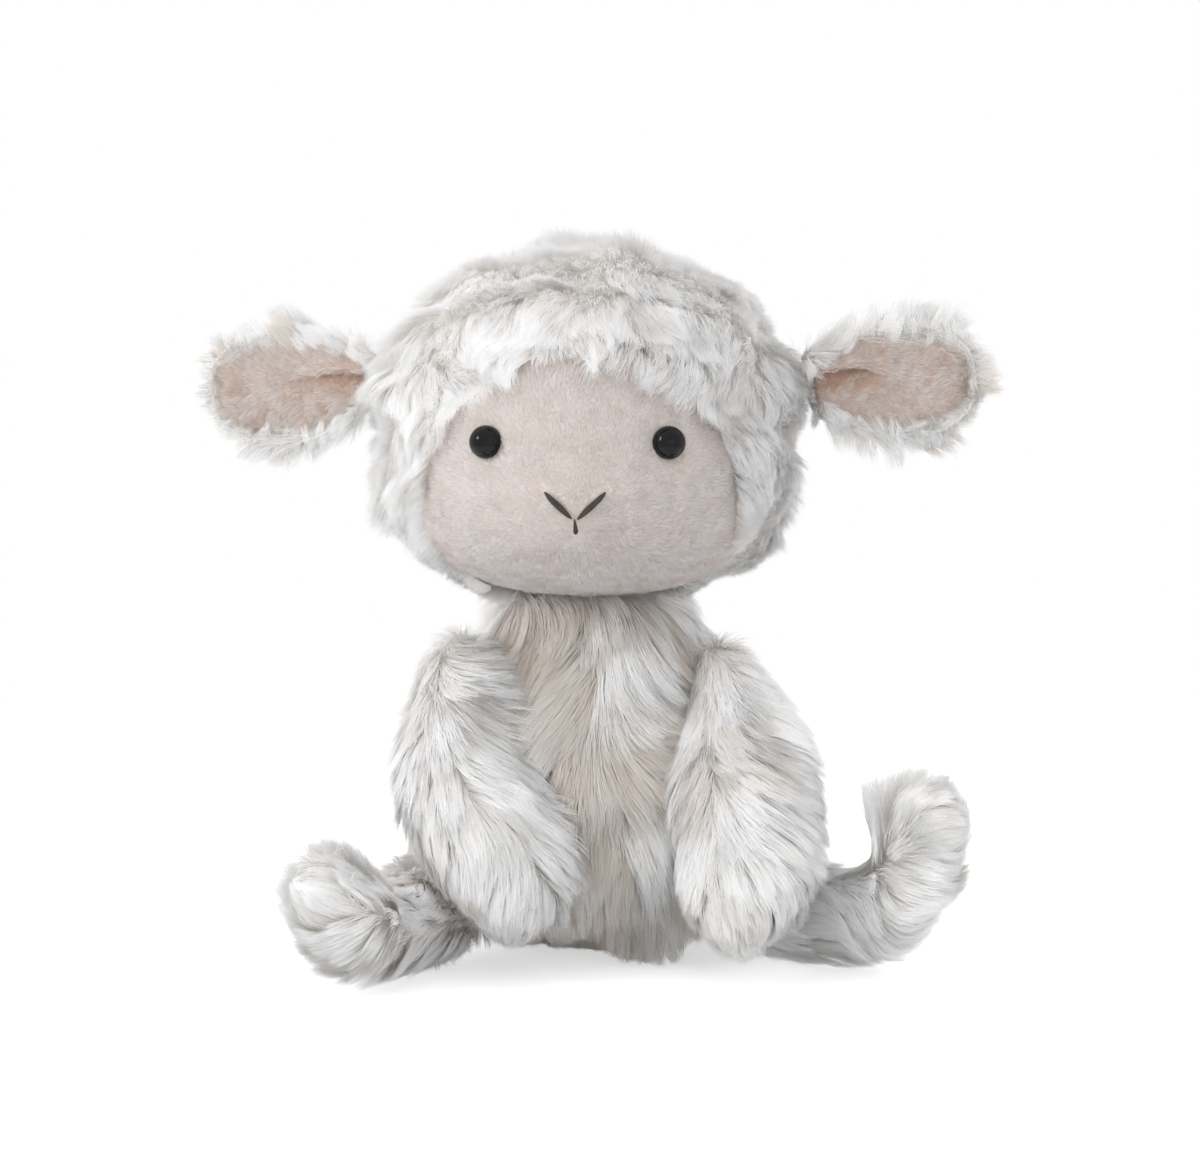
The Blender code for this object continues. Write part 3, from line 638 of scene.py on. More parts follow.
def pile_material(name, root, middle, tip, shade, roughness=0.75, sheen=0.1):
    """Strands from a root painted darker as shade deep in the pile to a pale tip, some darker at random and
    some as painted shade, that let light through.
    """
    material, nodes, links, shader = new_material(name)
    along = nodes.new("ShaderNodeAttribute")
    along.attribute_name = "along"
    tone = nodes.new("ShaderNodeAttribute")
    tone.attribute_name = "tone"
    # painted shade: each strand is darker and warmer towards its root, as shade deep in the pile
    strand = ramp(nodes, [(0.0, root), (0.45, middle), (1.0, tip)])
    links.new(along.outputs["Fac"], strand.inputs["Fac"])
    # strands of low tone are tinted darker: random tone, and painted shade where a field lowers the tone
    tint = ramp(nodes, [(0.0, shade), (0.5, (1.0, 1.0, 1.0))])
    links.new(tone.outputs["Fac"], tint.inputs["Fac"])
    mix = nodes.new("ShaderNodeMix")
    mix.data_type = "RGBA"
    mix.blend_type = "MULTIPLY"
    mix.inputs["Factor"].default_value = 1.0
    links.new(strand.outputs["Color"], mix.inputs["A"])
    links.new(tint.outputs["Color"], mix.inputs["B"])
    links.new(mix.outputs["Result"], shader.inputs["Base Color"])
    shader.inputs["Roughness"].default_value = roughness
    shader.inputs["Sheen Weight"].default_value = sheen
    shader.inputs["Sheen Roughness"].default_value = 0.5
    shader.inputs["Specular IOR Level"].default_value = 0.25
    through = nodes.new("ShaderNodeBsdfTranslucent")
    links.new(mix.outputs["Result"], through.inputs["Color"])
    both = mixed(nodes, links, STRAND_TRANSLUCENCY, shader, through)
    links.new(both.outputs[0], nodes["Material Output"].inputs["Surface"])
    return material


def woven_material(name, low, high, scale, bump, roughness=0.9):
    """Knitted backing or loose fibre: fine streaks over soft blotches."""
    material, nodes, links, shader = new_material(name)
    fine = blotched(nodes, links, shader, scale, 6.0, [(0.3, low), (0.7, high)])
    relief = nodes.new("ShaderNodeBump")
    relief.inputs["Strength"].default_value = bump
    relief.inputs["Distance"].default_value = 0.0004
    links.new(fine.outputs["Fac"], relief.inputs["Height"])
    links.new(relief.outputs["Normal"], shader.inputs["Normal"])
    shader.inputs["Roughness"].default_value = roughness
    return material


def gloss_material():
    """Moulded black plastic with faint polishing marks."""
    material, nodes, links, shader = new_material("eye_gloss")
    blotched(nodes, links, shader, 260.0, 3.0, [(0.35, (0.003, 0.003, 0.004)), (0.75, (0.008, 0.007, 0.007))])
    shader.inputs["Roughness"].default_value = 0.05
    shader.inputs["Specular IOR Level"].default_value = 0.22
    return material


# View and light


def aim(obj, place, target):
    obj.location = place
    obj.rotation_mode = "QUATERNION"
    obj.rotation_quaternion = (target - place).to_track_quat("-Z", "Y")


def make_camera():
    azimuth = math.radians(CAMERA_AZIMUTH)
    elevation = math.radians(CAMERA_ELEVATION)
    level = math.cos(elevation)
    back = Vector((math.sin(azimuth) * level, -math.cos(azimuth) * level, math.sin(elevation)))
    data = bpy.data.cameras.new("camera")
    data.sensor_width = SENSOR_WIDTH
    data.lens = SENSOR_WIDTH * CAMERA_DISTANCE / (PHOTO_WIDTH * PIXEL_SIZE)
    data.clip_start = 0.01
    camera = bpy.data.objects.new("camera", data)
    bpy.context.scene.collection.objects.link(camera)
    aim(camera, CAMERA_TARGET + back * CAMERA_DISTANCE, CAMERA_TARGET)
    bpy.context.scene.camera = camera


def make_lamp(name, place, size, power):
    data = bpy.data.lights.new(name, "AREA")
    data.shape = "SQUARE"
    data.size = size
    data.energy = power
    lamp = bpy.data.objects.new(name, data)
    lamp.visible_camera = False
    bpy.context.scene.collection.objects.link(lamp)
    aim(lamp, place, CAMERA_TARGET)


def seen_directly(nodes, links):
    """1 for what the camera sees, directly or in gloss or glass, and 0 for light that falls on the object."""
    path = nodes.new("ShaderNodeLightPath")
    total = None
    for ray in ("Is Camera Ray", "Is Glossy Ray", "Is Transmission Ray"):
        if total is None:
            total = path.outputs[ray]
            continue
        add = nodes.new("ShaderNodeMath")
        add.operation = "MAXIMUM"
        links.new(total, add.inputs[0])
        links.new(path.outputs[ray], add.inputs[1])
        total = add.outputs[0]
    return total


def make_world():
    world = bpy.data.worlds.new("studio")
    bpy.context.scene.world = world
    world.use_nodes = True
    nodes, links = world.node_tree.nodes, world.node_tree.links
    light = nodes["Background"]
    light.inputs["Color"].default_value = (0.97, 0.985, 1.0, 1.0)
    place = nodes.new("ShaderNodeTexCoord")
    split = nodes.new("ShaderNodeSeparateXYZ")
    links.new(place.outputs["Generated"], split.inputs[0])
    slant = nodes.new("ShaderNodeMapRange")
    slant.inputs["From Min"].default_value = -1.0
    slant.inputs["To Min"].default_value = WORLD_STRENGTH[0]
    slant.inputs["To Max"].default_value = WORLD_STRENGTH[1]
    links.new(split.outputs["X"], slant.inputs["Value"])
    links.new(slant.outputs["Result"], light.inputs["Strength"])
    white = nodes.new("ShaderNodeBackground")
    white.inputs["Color"].default_value = (1.0, 1.0, 1.0, 1.0)
    white.inputs["Strength"].default_value = 1.0
    mix = mixed(nodes, links, seen_directly(nodes, links), light, white)
    links.new(mix.outputs[0], nodes["World Output"].inputs["Surface"])


def make_floor():
    """A pale floor that the camera sees as white, but for the object's shadow."""
    mesh = bpy.data.meshes.new("floor")
    bm = bmesh.new()
    bmesh.ops.create_grid(bm, x_segments=1, y_segments=1, size=FLOOR_SIZE / 2)
    bm.to_mesh(mesh)
    bm.free()
    floor = bpy.data.objects.new("floor", mesh)
    floor.location.z = -FLOOR_GAP
    bpy.context.scene.collection.objects.link(floor)
    material, nodes, links, shader = new_material("floor")
    shader.inputs["Base Color"].default_value = (0.8, 0.8, 0.8, 1.0)
    shader.inputs["Roughness"].default_value = 0.9
    glow = nodes.new("ShaderNodeEmission")
    glow.inputs["Strength"].default_value = FLOOR_GLOW
    near = nodes.new("ShaderNodeAddShader")
    links.new(shader.outputs[0], near.inputs[0])
    links.new(glow.outputs[0], near.inputs[1])
    place = nodes.new("ShaderNodeTexCoord")
    away = nodes.new("ShaderNodeVectorMath")
    away.operation = "LENGTH"
    links.new(place.outputs["Object"], away.inputs[0])
    fade = nodes.new("ShaderNodeMapRange")
    fade.interpolation_type = "SMOOTHSTEP"
    fade.inputs["From Min"].default_value = FLOOR_FADE[0]
    fade.inputs["From Max"].default_value = FLOOR_FADE[1]
    links.new(away.outputs["Value"], fade.inputs["Value"])
    white = nodes.new("ShaderNodeEmission")
    shown = mixed(nodes, links, fade.outputs["Result"], near, white)
    mix = mixed(nodes, links, seen_directly(nodes, links), shader, shown)
    links.new(mix.outputs[0], nodes["Material Output"].inputs["Surface"])
    mesh.materials.append(material)


def corners_of(*nodes):
    boxes = [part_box(node) for node in nodes]
    low = np.min([np.array(box[0]) for box in boxes], axis=0)
    high = np.max([np.array(box[1]) for box in boxes], axis=0)
    return low, high


# The sheep


def make_head():
    panels = ("left_head_side", "right_head_side", "head_gusset")
    low, high = corners_of(*panels)
    face_low, face_high = corners_of("face_panel")
    face_half = (face_high - face_low) / 2.0
    face_mid = (face_high + face_low) / 2.0
    face_mid[2] += FACE_LEVEL_SHARE * face_half[2]
    face_back = face_high[1]
    skin = make_skin(["head_stuffing"], VOXEL, 8, -ROOT_RISE, hull=True)
    hood_skin = swollen(skin, 14, 0.010, HOOD_LUMP)
    middle = (low + high) / 2.0
    crown = np.array((0.0, high[1] + 0.002, middle[2] + 0.3 * (high[2] - middle[2])))
    ear_roots = {side: joint_place(f"{side}_ear_flap") for side in SIDES}

    def face_reach(points):
        """1 on the face's outline, less within it. Behind the panel it is large."""
        side = np.abs(points[:, 0] - face_mid[0]) / face_half[0]
        rise = (points[:, 2] - face_mid[2]) / np.where(
            points[:, 2] > face_mid[2], face_high[2] - face_mid[2], face_mid[2] - face_low[2]
        )
        rise = np.maximum(rise, -CHIN_CAP)
        power = 2.0 + (JAW_POWER - 2.0) * smoothstep(0.2, -0.4, rise)
        flat = (side**power + np.abs(rise) ** power) ** (1.0 / power)
        return flat + smoothstep(face_back - 0.004, face_back + 0.004, points[:, 1]) * 3.0

    def above_face(points, low=0.35, high=0.9):
        return smoothstep(low, high, (points[:, 2] - face_mid[2]) / (face_high[2] - face_mid[2]))

    def hood_comb(roots, normals):
        course = flattened(roots - crown, normals)
        out = roots - face_mid
        out[:, 1] = 0.0
        near = 1.0 - smoothstep(1.0, 1.45, face_reach(roots))
        share = (near * (1.0 - above_face(roots, -0.1, 0.5)) * 0.85)[:, None]
        course = course * (1.0 - share) + flattened(out, normals) * share
        beside = smoothstep(0.018, 0.040, np.abs(roots[:, :1])) * smoothstep(0.2, 0.7, -normals[:, 1:2])
        course += flattened(np.tile((0.0, 0.0, -1.0), (len(roots), 1)), normals) * beside * 0.9
        for side, sign in SIDES.items():
            gap = np.linalg.norm(roots - ear_roots[side], axis=1)
            near = 1.4 * np.exp(-((gap / 0.015) ** 2))[:, None]
            course += flattened(np.tile((sign, 0.0, 0.15), (len(roots), 1)), normals) * near
        return unit(course)

    def hood_field(roots, normals):
        reach = face_reach(roots)
        edge = 1.0 - smoothstep(1.0, 1.20, reach)
        above = above_face(roots)
        under = smoothstep(0.1, 0.7, -normals[:, 2])
        top = smoothstep(0.5, 0.95, normals[:, 2])
        tuft = smoothstep(CROWN_TUFT[0] - 0.006, CROWN_TUFT[0] + 0.006, roots[:, 0])
        tuft *= 1.0 - smoothstep(CROWN_TUFT[1] - 0.006, CROWN_TUFT[1] + 0.006, roots[:, 0])
        turn = waves(roots, 11, 0.020) * math.radians(20) * (1.0 - 0.6 * edge)
        lift = edge * math.radians(26) * (1.0 - above) + waves(roots, 12, 0.013) * math.radians(7)
        lift -= edge * above * math.radians(12)
        length = 1.0 + waves(roots, 13, 0.011) * 0.14 + top * (tuft * 0.24 - 0.28)
        length -= smoothstep(0.020, 0.055, roots[:, 0]) * 0.30
        for place in ear_roots.values():
            gap = np.linalg.norm(roots - place - np.array((0.0, 0.0, 0.010)), axis=1)
            length += 0.45 * np.exp(-((gap / 0.012) ** 2))
        length *= (1.0 - edge * 0.30 * (1.0 - above)) * (1.0 - under * 0.5)
        return {"turn": turn, "lift": lift, "length": length}

    hood = grow(hood_skin, HEAD_COAT, 21, hood_comb, hood_field, lambda p, n: face_reach(p) > 1.0)
    parts = [
        ("left_head_side_fur", lambda p: p[:, 0] > GUSSET_HALF, ["left_head_side"]),
        ("right_head_side_fur", lambda p: p[:, 0] < -GUSSET_HALF, ["right_head_side"]),
        ("head_gusset_fur", lambda p: np.abs(p[:, 0]) <= GUSSET_HALF, ["head_gusset"]),
    ]
    piles(HEAD_COAT, hood, parts, MATERIALS["fur"], "head")
    for name, test, nodes in parts:
        keep = test(skin.points) & (face_reach(skin.points) > 0.99)
        cloth(name.replace("fur", "cloth"), skin, keep, MATERIALS["backing"], "head", nodes)
    make_face(skin, face_reach)


def make_face(skin, face_reach):
    """The short-pile face, pressed in round the eyes and drawn in under the nose."""
    eyes = [eye_axis(f"{side}_eye") for side in SIDES]
    nose_low, nose_high = corners_of(*STITCHES)
    nose = (nose_low + nose_high) / 2.0
    stitch_places = np.concatenate([stitch_spine(node) for node in STITCHES])
    front = read_skin(skin.mesh.copy())

    def from_eye(points, eye):
        apex, axis = eye
        return np.linalg.norm(np.cross(points - np.array(apex), np.array(axis)), axis=1)

    depth, reach = EYE_DENT
    dent = sum(depth * np.exp(-((from_eye(front.points, eye) / reach) ** 2)) for eye in eyes)
    across = front.points[:, 0] - nose[0]
    drop = nose_low[2] - MOUTH_DENT_DROP - front.points[:, 2]
    depth, half_width, half_height = MOUTH_DENT
    dent += np.exp(-((across / half_width) ** 2) - (drop / half_height) ** 2) * depth
    dent *= front.points[:, 1] < nose[1] + 0.03
    dent -= FACE_RISE * smoothstep(1.04, 0.86, face_reach(front.points))
    move(front, front.normals * -dent[:, None])
    front = read_skin(front.mesh)

    def face_field(roots, normals):
        edge = smoothstep(0.85, 1.0, face_reach(roots))
        gap = np.linalg.norm(roots[:, None, [0, 2]] - stitch_places[None, :, [0, 2]], axis=2).min(1)
        length = 1.0 + waves(roots, 33, 0.005) * 0.07 + edge * 0.3
        for eye in eyes:
            length *= 1.0 - 0.5 * np.exp(-((from_eye(roots, eye) / EYE_SHORT) ** 2))
        return {
            "turn": waves(roots, 31, 0.012) * math.radians(16),
            "lift": waves(roots, 32, 0.006) * math.radians(5),
            "length": length * (1.0 - 0.75 * np.exp(-((gap / STITCH_SHORT) ** 2))),
            # painted shadow: the face's pile is darker and browner towards its outline, as shade cast by the
            # hood's edge; the waves are tone that differs at random
            "tone": waves(roots, 34, 0.004) * 0.05 - smoothstep(0.82, 1.0, face_reach(roots)) * 0.22,
        }

    def on_face(roots, normals):
        clear = [from_eye(roots, eye) > EYE_CLEAR for eye in eyes]
        return (face_reach(roots) < 1.03) & np.all(clear, axis=0)

    grown = grow(front, FACE_COAT, 34, away_from(nose + np.array((0.0, 0.0, -0.004))), face_field, on_face)
    parts = [("face_panel_pile", None, ["face_panel"])]
    piles(FACE_COAT, grown, parts, MATERIALS["face"], "head")
    keep = face_reach(front.points) < 1.06
    cloth("face_panel_cloth", front, keep, MATERIALS["face_backing"], "head", ["face_panel"])


def node_points(node):
    return np.array([v.co for v in frame["nodes"][node].data.vertices])


def eye_axis(node):
    """The middle of an eye's dome and the way it looks."""
    points = node_points(node)
    middle = points.mean(0)
    axis = np.linalg.svd(points - middle)[2][0]
    if axis[1] > 0:
        axis = -axis
    reach = (points - middle) @ axis
    return Vector(middle + axis * reach.max()), Vector(axis)


def lathe(name, profile, steps):
    """A profile of radii and heights, run from its lower end to its top, turned about Z."""
    bm = bmesh.new()
    rows = []
    for radius, height in profile:
        if radius == 0.0:
            rows.append([bm.verts.new((0.0, 0.0, height))])
            continue
        angles = [math.tau * step / steps for step in range(steps)]
        rows.append([bm.verts.new((radius * math.cos(a), radius * math.sin(a), height)) for a in angles])
    for lower, upper in zip(rows, rows[1:]):
        for step in range(steps):
            corners = [lower[step % len(lower)], lower[(step + 1) % len(lower)]]
            corners += [upper[(step + 1) % len(upper)], upper[step % len(upper)]]
            bm.faces.new(list(dict.fromkeys(corners)))
    mesh = bpy.data.meshes.new(name)
    bm.to_mesh(mesh)
    bm.free()
    return mesh


def make_eye(side):
    """A domed eye with a rolled rim, on a ribbed stem."""
    node = f"{side}_eye"
    apex, axis = eye_axis(node)
    points = node_points(node) - np.array(apex)
    reach = points @ np.array(axis)
    away = np.linalg.norm(points - reach[:, None] * np.array(axis), axis=1)
    radius = away.max() * 1.03
    stem_end = reach.min()
    stem = away[reach < stem_end + 0.0005].max()
    dome = radius * 0.92
    profile = [(0.0, stem_end), (stem * 0.7, stem_end)]
    ribs = 8
    for rib in range(ribs):
        at = stem_end + (rib + 0.5) / ribs * (-stem_end - dome) * 0.8
        profile += [(stem * 0.82, at), (stem, at + 0.0004)]
    profile += [(stem, -dome - 0.0004), (radius * 0.9, -dome - 0.0003)]
    for step in range(20):
        angle = math.radians(96 - 96 * step / 20)
        profile.append((radius * math.sin(angle), -dome + dome * math.cos(angle) * 1.04))
    profile.append((0.0, dome * 0.04))
    mesh = lathe(node, profile, 48)
    mesh.transform(Matrix.Translation(apex) @ axis.to_track_quat("Z", "Y").to_matrix().to_4x4())
    finished(f"{node}_dome", mesh, MATERIALS["gloss"], "head", [node])


def make_body():
    low, high = corners_of("body_front", "body_back")
    skin = make_skin(["body_stuffing", "pellet_pouch"], VOXEL, 8, -ROOT_RISE, hull=True)
    comb = stroked(away_from((0.0, low[1] * 0.1, high[2] + 0.02)), BODY_STROKES)
    fur_skin = swollen(skin, 45, 0.014, BODY_LUMP)

    def field(roots, normals):
        under = smoothstep(0.3, 0.8, -normals[:, 2])
        shoulder = smoothstep(0.66, 0.86, roots[:, 2] / high[2])
        shoulder *= smoothstep(0.35, 0.75, np.abs(normals[:, 0]))
        turn = waves(roots, 41, 0.026) * math.radians(18)
        lift = waves(roots, 42, 0.018) * math.radians(8) + shoulder * math.radians(10)
        length = (1.0 + waves(roots, 43, 0.020) * 0.12) * (1.0 - under * 0.55)
        shaded_parting = np.zeros(len(roots))
        for x, z, radius in SHADED_PARTINGS:
            gap = np.hypot(roots[:, 0] - x * MILLIMETRE, roots[:, 2] - z * MILLIMETRE) / (radius * MILLIMETRE)
            shaded_parting = np.maximum(shaded_parting, np.exp(-(gap**2)) * smoothstep(0.0, 0.4, -normals[:, 1]))
        length *= 1.0 - shaded_parting * 0.55
        # painted shade: the belly's middle and its partings are darker and warmer, as shade under the head
        # and in creases
        middle = np.exp(-((roots[:, 0] / 0.035) ** 2)) * smoothstep(0.0, 0.5, -normals[:, 1])
        tone = -shaded_parting * 0.6 - middle * BELLY_PAINTED_SHADE
        lift -= under * math.radians(20)
        return {"turn": turn, "lift": lift, "length": length, "tone": tone, "fall": shoulder * 0.6}

    grown = grow(fur_skin, BODY_COAT, 44, comb, field)
    parts = [
        ("body_front_fur", lambda p: p[:, 1] < 0.0, ["body_front"]),
        ("body_back_fur", lambda p: p[:, 1] >= 0.0, ["body_back"]),
    ]
    piles(BODY_COAT, grown, parts, MATERIALS["fur"], "body")
    for name, test, nodes in parts:
        piece = name.replace("fur", "cloth")
        cloth(piece, skin, test(skin.points), MATERIALS["backing"], "body", nodes)


def joint_place(name):
    joints = frame["record"]["behaviour"]["joints"]
    return np.array(next(joint["pos_m"] for joint in joints if joint["name"] == name))


def spine_comb(skin, pivot, bands=9):
    """A comb along a bent limb, from the middles of its slices at growing distances from its joint."""
    away = np.linalg.norm(skin.points - pivot, axis=1)
    edges = np.linspace(0.0, away.max(), bands + 1)
    middles = [pivot]
    for low, high in zip(edges, edges[1:]):
        inside = (away >= low) & (away <= high)
        if inside.sum() > 8:
            middles.append(skin.points[inside].mean(0))
    middles = np.array(middles)
    courses = unit(np.gradient(middles, axis=0))

    def comb(roots, normals):
        gaps = np.linalg.norm(roots[:, None] - middles[None], axis=2)
        weights = np.exp(-((gaps / 0.016) ** 2)) + 1e-9
        course = (weights[:, :, None] * courses[None]).sum(1)
        return flattened(unit(course) + 1e-4, normals)

    return comb


def make_limb(body, joint, seed, strokes, coat):
    sleeve = f"{body}_sleeve"
    pivot = joint_place(joint)
    skin = make_skin([sleeve, f"{body}_stuffing"], VOXEL, 10, LIMB_SINK)
    fur_skin = swollen(skin, seed + 4, 0.014, BODY_LUMP)
    reach = np.linalg.norm(skin.points - pivot, axis=1).max()

    def field(roots, normals):
        end = smoothstep(0.72, 1.0, np.linalg.norm(roots - pivot, axis=1) / reach)
        start = np.exp(-((np.linalg.norm(roots - pivot, axis=1) / 0.022) ** 2))
        turn = waves(roots, seed + 1, 0.026) * math.radians(16)
        lift = waves(roots, seed + 2, 0.016) * math.radians(6) + start * math.radians(5)
        length = (1.0 + waves(roots, seed + 3, 0.018) * 0.12 - start * 0.35) * (1.0 - end * LIMB_END)
        return {"turn": turn, "lift": lift, "length": length, "fall": start * 0.9}

    grown = grow(fur_skin, coat, seed, stroked(spine_comb(skin, pivot), strokes), field)
    piles(coat, grown, [(f"{sleeve}_fur", None, [sleeve])], MATERIALS["fur"], body)
    whole = np.ones(len(skin.points), dtype=bool)
    cloth(f"{sleeve}_cloth", skin, whole, MATERIALS["backing"], body, [sleeve])


def make_ear(side, sign):
    """White fur round a short-pile lining, which narrows to a fold at the root."""
    body = f"{side}_ear"
    back, lining = f"{body}_back", f"{body}_lining"
    pivot = joint_place(f"{body}_flap")
    skin = make_skin([back, lining], EAR_VOXEL, 12, EAR_SINK, hull=True)
    heading = unit((skin.points.mean(0) - pivot) * (1.0, 0.0, 1.0))
    upward = np.array((-heading[2], 0.0, heading[0])) * sign
    tip = ((np.array(corners_of(lining)) - pivot) @ heading).max() + 0.001

    def lining_reach(points):
        """1 on the lining's outline, less within it."""
        along = np.maximum((points - pivot) @ heading, 0.0)
        rounded = np.sqrt(np.maximum(0.0, 1.0 - (along / tip) ** 6))
        half = LINING_HALF * (1.0 - np.exp(-along / LINING_TAPER)) * rounded
        return np.abs((points - pivot) @ upward) / np.maximum(half, 0.0002)

    def fold(points):
        """How far a point lies under the fold's edge, and how far up on its lip."""
        along = (points - pivot) @ heading
        line = FOLD_RISE * np.sin(math.pi * np.clip(along / FOLD_LENGTH, 0.0, 1.0))
        above = (points - pivot) @ upward - line
        fade = 1.0 - smoothstep(0.3, 1.0, along / FOLD_LENGTH)
        under = fade * np.exp(np.minimum(above, 0.0) / 0.005) * smoothstep(0.0004, -0.0006, above)
        lip = fade * np.exp(-np.maximum(above, 0.0) / 0.003) * smoothstep(-0.0006, 0.0004, above)
        return under, lip

    under, lip = fold(skin.points)
    shift = (under * FOLD_DENT - lip * FOLD_LIP) * smoothstep(0.0, 0.5, -skin.normals[:, 1])
    move(skin, shift[:, None] * np.array((0.0, 1.0, 0.0)))
    skin = read_skin(skin.mesh)
    half = np.abs((skin.points - pivot) @ upward).max()

    def fur_comb(roots, normals):
        across = (roots - pivot) @ upward
        share = np.abs(across) / half
        rim = smoothstep(0.25, 0.8, share) * np.where(normals[:, 1] < 0.3, 1.0, 0.4)
        course = heading * (1.0 - 0.65 * rim[:, None]) + upward * (np.sign(across) * rim)[:, None]
        return flattened(course, normals)

    def fur_field(roots, normals):
        rim = smoothstep(0.45, 0.95, np.abs((roots - pivot) @ upward) / half)
        length = 1.0 + waves(roots, 53 + int(sign), 0.009) * 0.22 + rim * 0.45
        front = smoothstep(0.2, 0.8, -normals[:, 1])
        near = front * smoothstep(1.6, 1.0, lining_reach(roots))
        length *= 1.0 - 0.2 * smoothstep(0.75, 1.0, (roots - pivot) @ heading / tip)
        length *= 1.0 - near * 0.5
        turn = waves(roots, 51, 0.012) * math.radians(16)
        lift = waves(roots, 52, 0.010) * math.radians(8) + (front - near) * math.radians(10)
        return {"turn": turn, "lift": lift, "length": length}

    def off_lining(roots, normals):
        return (normals[:, 1] > -0.3) | (lining_reach(roots) + waves(roots, 57, 0.0016) * 0.12 > 0.94)

    grown = grow(skin, EAR_COAT, 54 + int(sign), fur_comb, fur_field, off_lining)
    piles(EAR_COAT, grown, [(f"{back}_fur", None, [back])], MATERIALS["fur"], body)
    lined = (skin.normals[:, 1] < -0.3) & (lining_reach(skin.points) < 0.97)
    cloth(f"{lining}_cloth", skin, lined, MATERIALS["lining_backing"], body, [lining], laps=0)
    under_skin = read_skin(skin.mesh.copy())
    move(under_skin, under_skin.normals * -EAR_UNDER)
    finished(f"{back}_cloth", under_skin.mesh, MATERIALS["backing"], body, [back])

    def lining_field(roots, normals):
        under, lip = fold(roots)
        return {
            "turn": waves(roots, 61, 0.010) * math.radians(20),
            "lift": waves(roots, 62, 0.006) * math.radians(8),
            "length": (1.0 + waves(roots, 63, 0.006) * 0.15) * (1.0 - 0.5 * under),
            # painted shade: under the fold's edge the pile is darker and more orange, as shade in its recess;
            # the waves are tone that differs at random
            "tone": waves(roots, 64, 0.004) * 0.05 - under * 0.8,
        }

    def lining_comb(roots, normals):
        rim = smoothstep(0.5, 1.0, lining_reach(roots))[:, None]
        out = upward * np.sign((roots - pivot) @ upward)[:, None]
        return flattened(roots - pivot + out * rim * 0.02, normals)

    def facing(roots, normals):
        return (normals[:, 1] < -0.2) & (lining_reach(roots) + waves(roots, 65, 0.0016) * 0.12 < 1.06)

    grown = grow(skin, LINING_COAT, 64 + int(sign), lining_comb, lining_field, facing)
    piles(LINING_COAT, grown, [(f"{lining}_pile", None, [lining])], MATERIALS["lining"], body)


def make_tail():
    skin = make_skin(["tail"], VOXEL, 6, 0.0035)
    grown = grow(skin, TAIL_COAT, 71, away_from(joint_place("tail_wag")))
    piles(TAIL_COAT, grown, [("tail_fur", None, ["tail"])], MATERIALS["fur"], "tail")
    whole = np.ones(len(skin.points), dtype=bool)
    cloth("tail_cloth", skin, whole, MATERIALS["backing"], "tail", ["tail"])


def make_fillings():
    """Loose fibre in lumps, sunk below the cloth that it fills, and the pouch of pellets."""
    homes = {"head_stuffing": "head", "body_stuffing": "body"}
    for side in SIDES:
        homes[f"{side}_arm_stuffing"] = f"{side}_arm"
        homes[f"{side}_leg_stuffing"] = f"{side}_leg"
    for seed, (node, body) in enumerate(homes.items()):
        skin = make_skin([node], 0.0025, 4, 0.0020)
        lumps = waves(skin.points, 80 + seed, 0.007) * 0.0007
        move(skin, skin.normals * lumps[:, None])
        piece = finished(f"{node}_fibre", skin.mesh, MATERIALS["fibre"], body, [node])
    node = "pellet_pouch"
    skin = make_skin([node], 0.0022, 3, 0.0020)
    lumps = np.abs(waves(skin.points, 90, 0.0022, 15)) * 0.0008
    move(skin, skin.normals * lumps[:, None])
    pouch = finished(f"{node}_cloth", skin.mesh, MATERIALS["pouch"], "body", [node])


def stitch_spine(node, count=9):
    """Points along the middle of a stitch's solid."""
    points = node_points(node)
    middle = points.mean(0)
    axis = np.linalg.svd(points - middle)[2][0]
    reach = (points - middle) @ axis
    order = np.argsort(reach)
    rings = np.array([points[group].mean(0) for group in np.array_split(order, 5)])
    places = np.array([reach[group].mean() for group in np.array_split(order, 5)])
    wanted = np.linspace(reach.min(), reach.max(), count)
    slopes = (rings[-1] - rings[0]) / (places[-1] - places[0])
    inner = np.stack([np.interp(wanted, places, rings[:, i]) for i in range(3)], axis=1)
    past = wanted - np.clip(wanted, places[0], places[-1])
    return inner + past[:, None] * slopes


def stitch_route(node):
    """A stitch's middle line from its top down. The mouth's starts where the nose's two stitches meet."""
    spine = stitch_spine(node)
    if spine[0][2] < spine[-1][2]:
        spine = spine[::-1]
    if node == "mouth_stitch":
        meeting = np.mean([stitch_route(other)[-1] for other in STITCHES if other != node], axis=0)
        spine = np.concatenate([[meeting], spine[: len(spine) // 2]])
    return spine


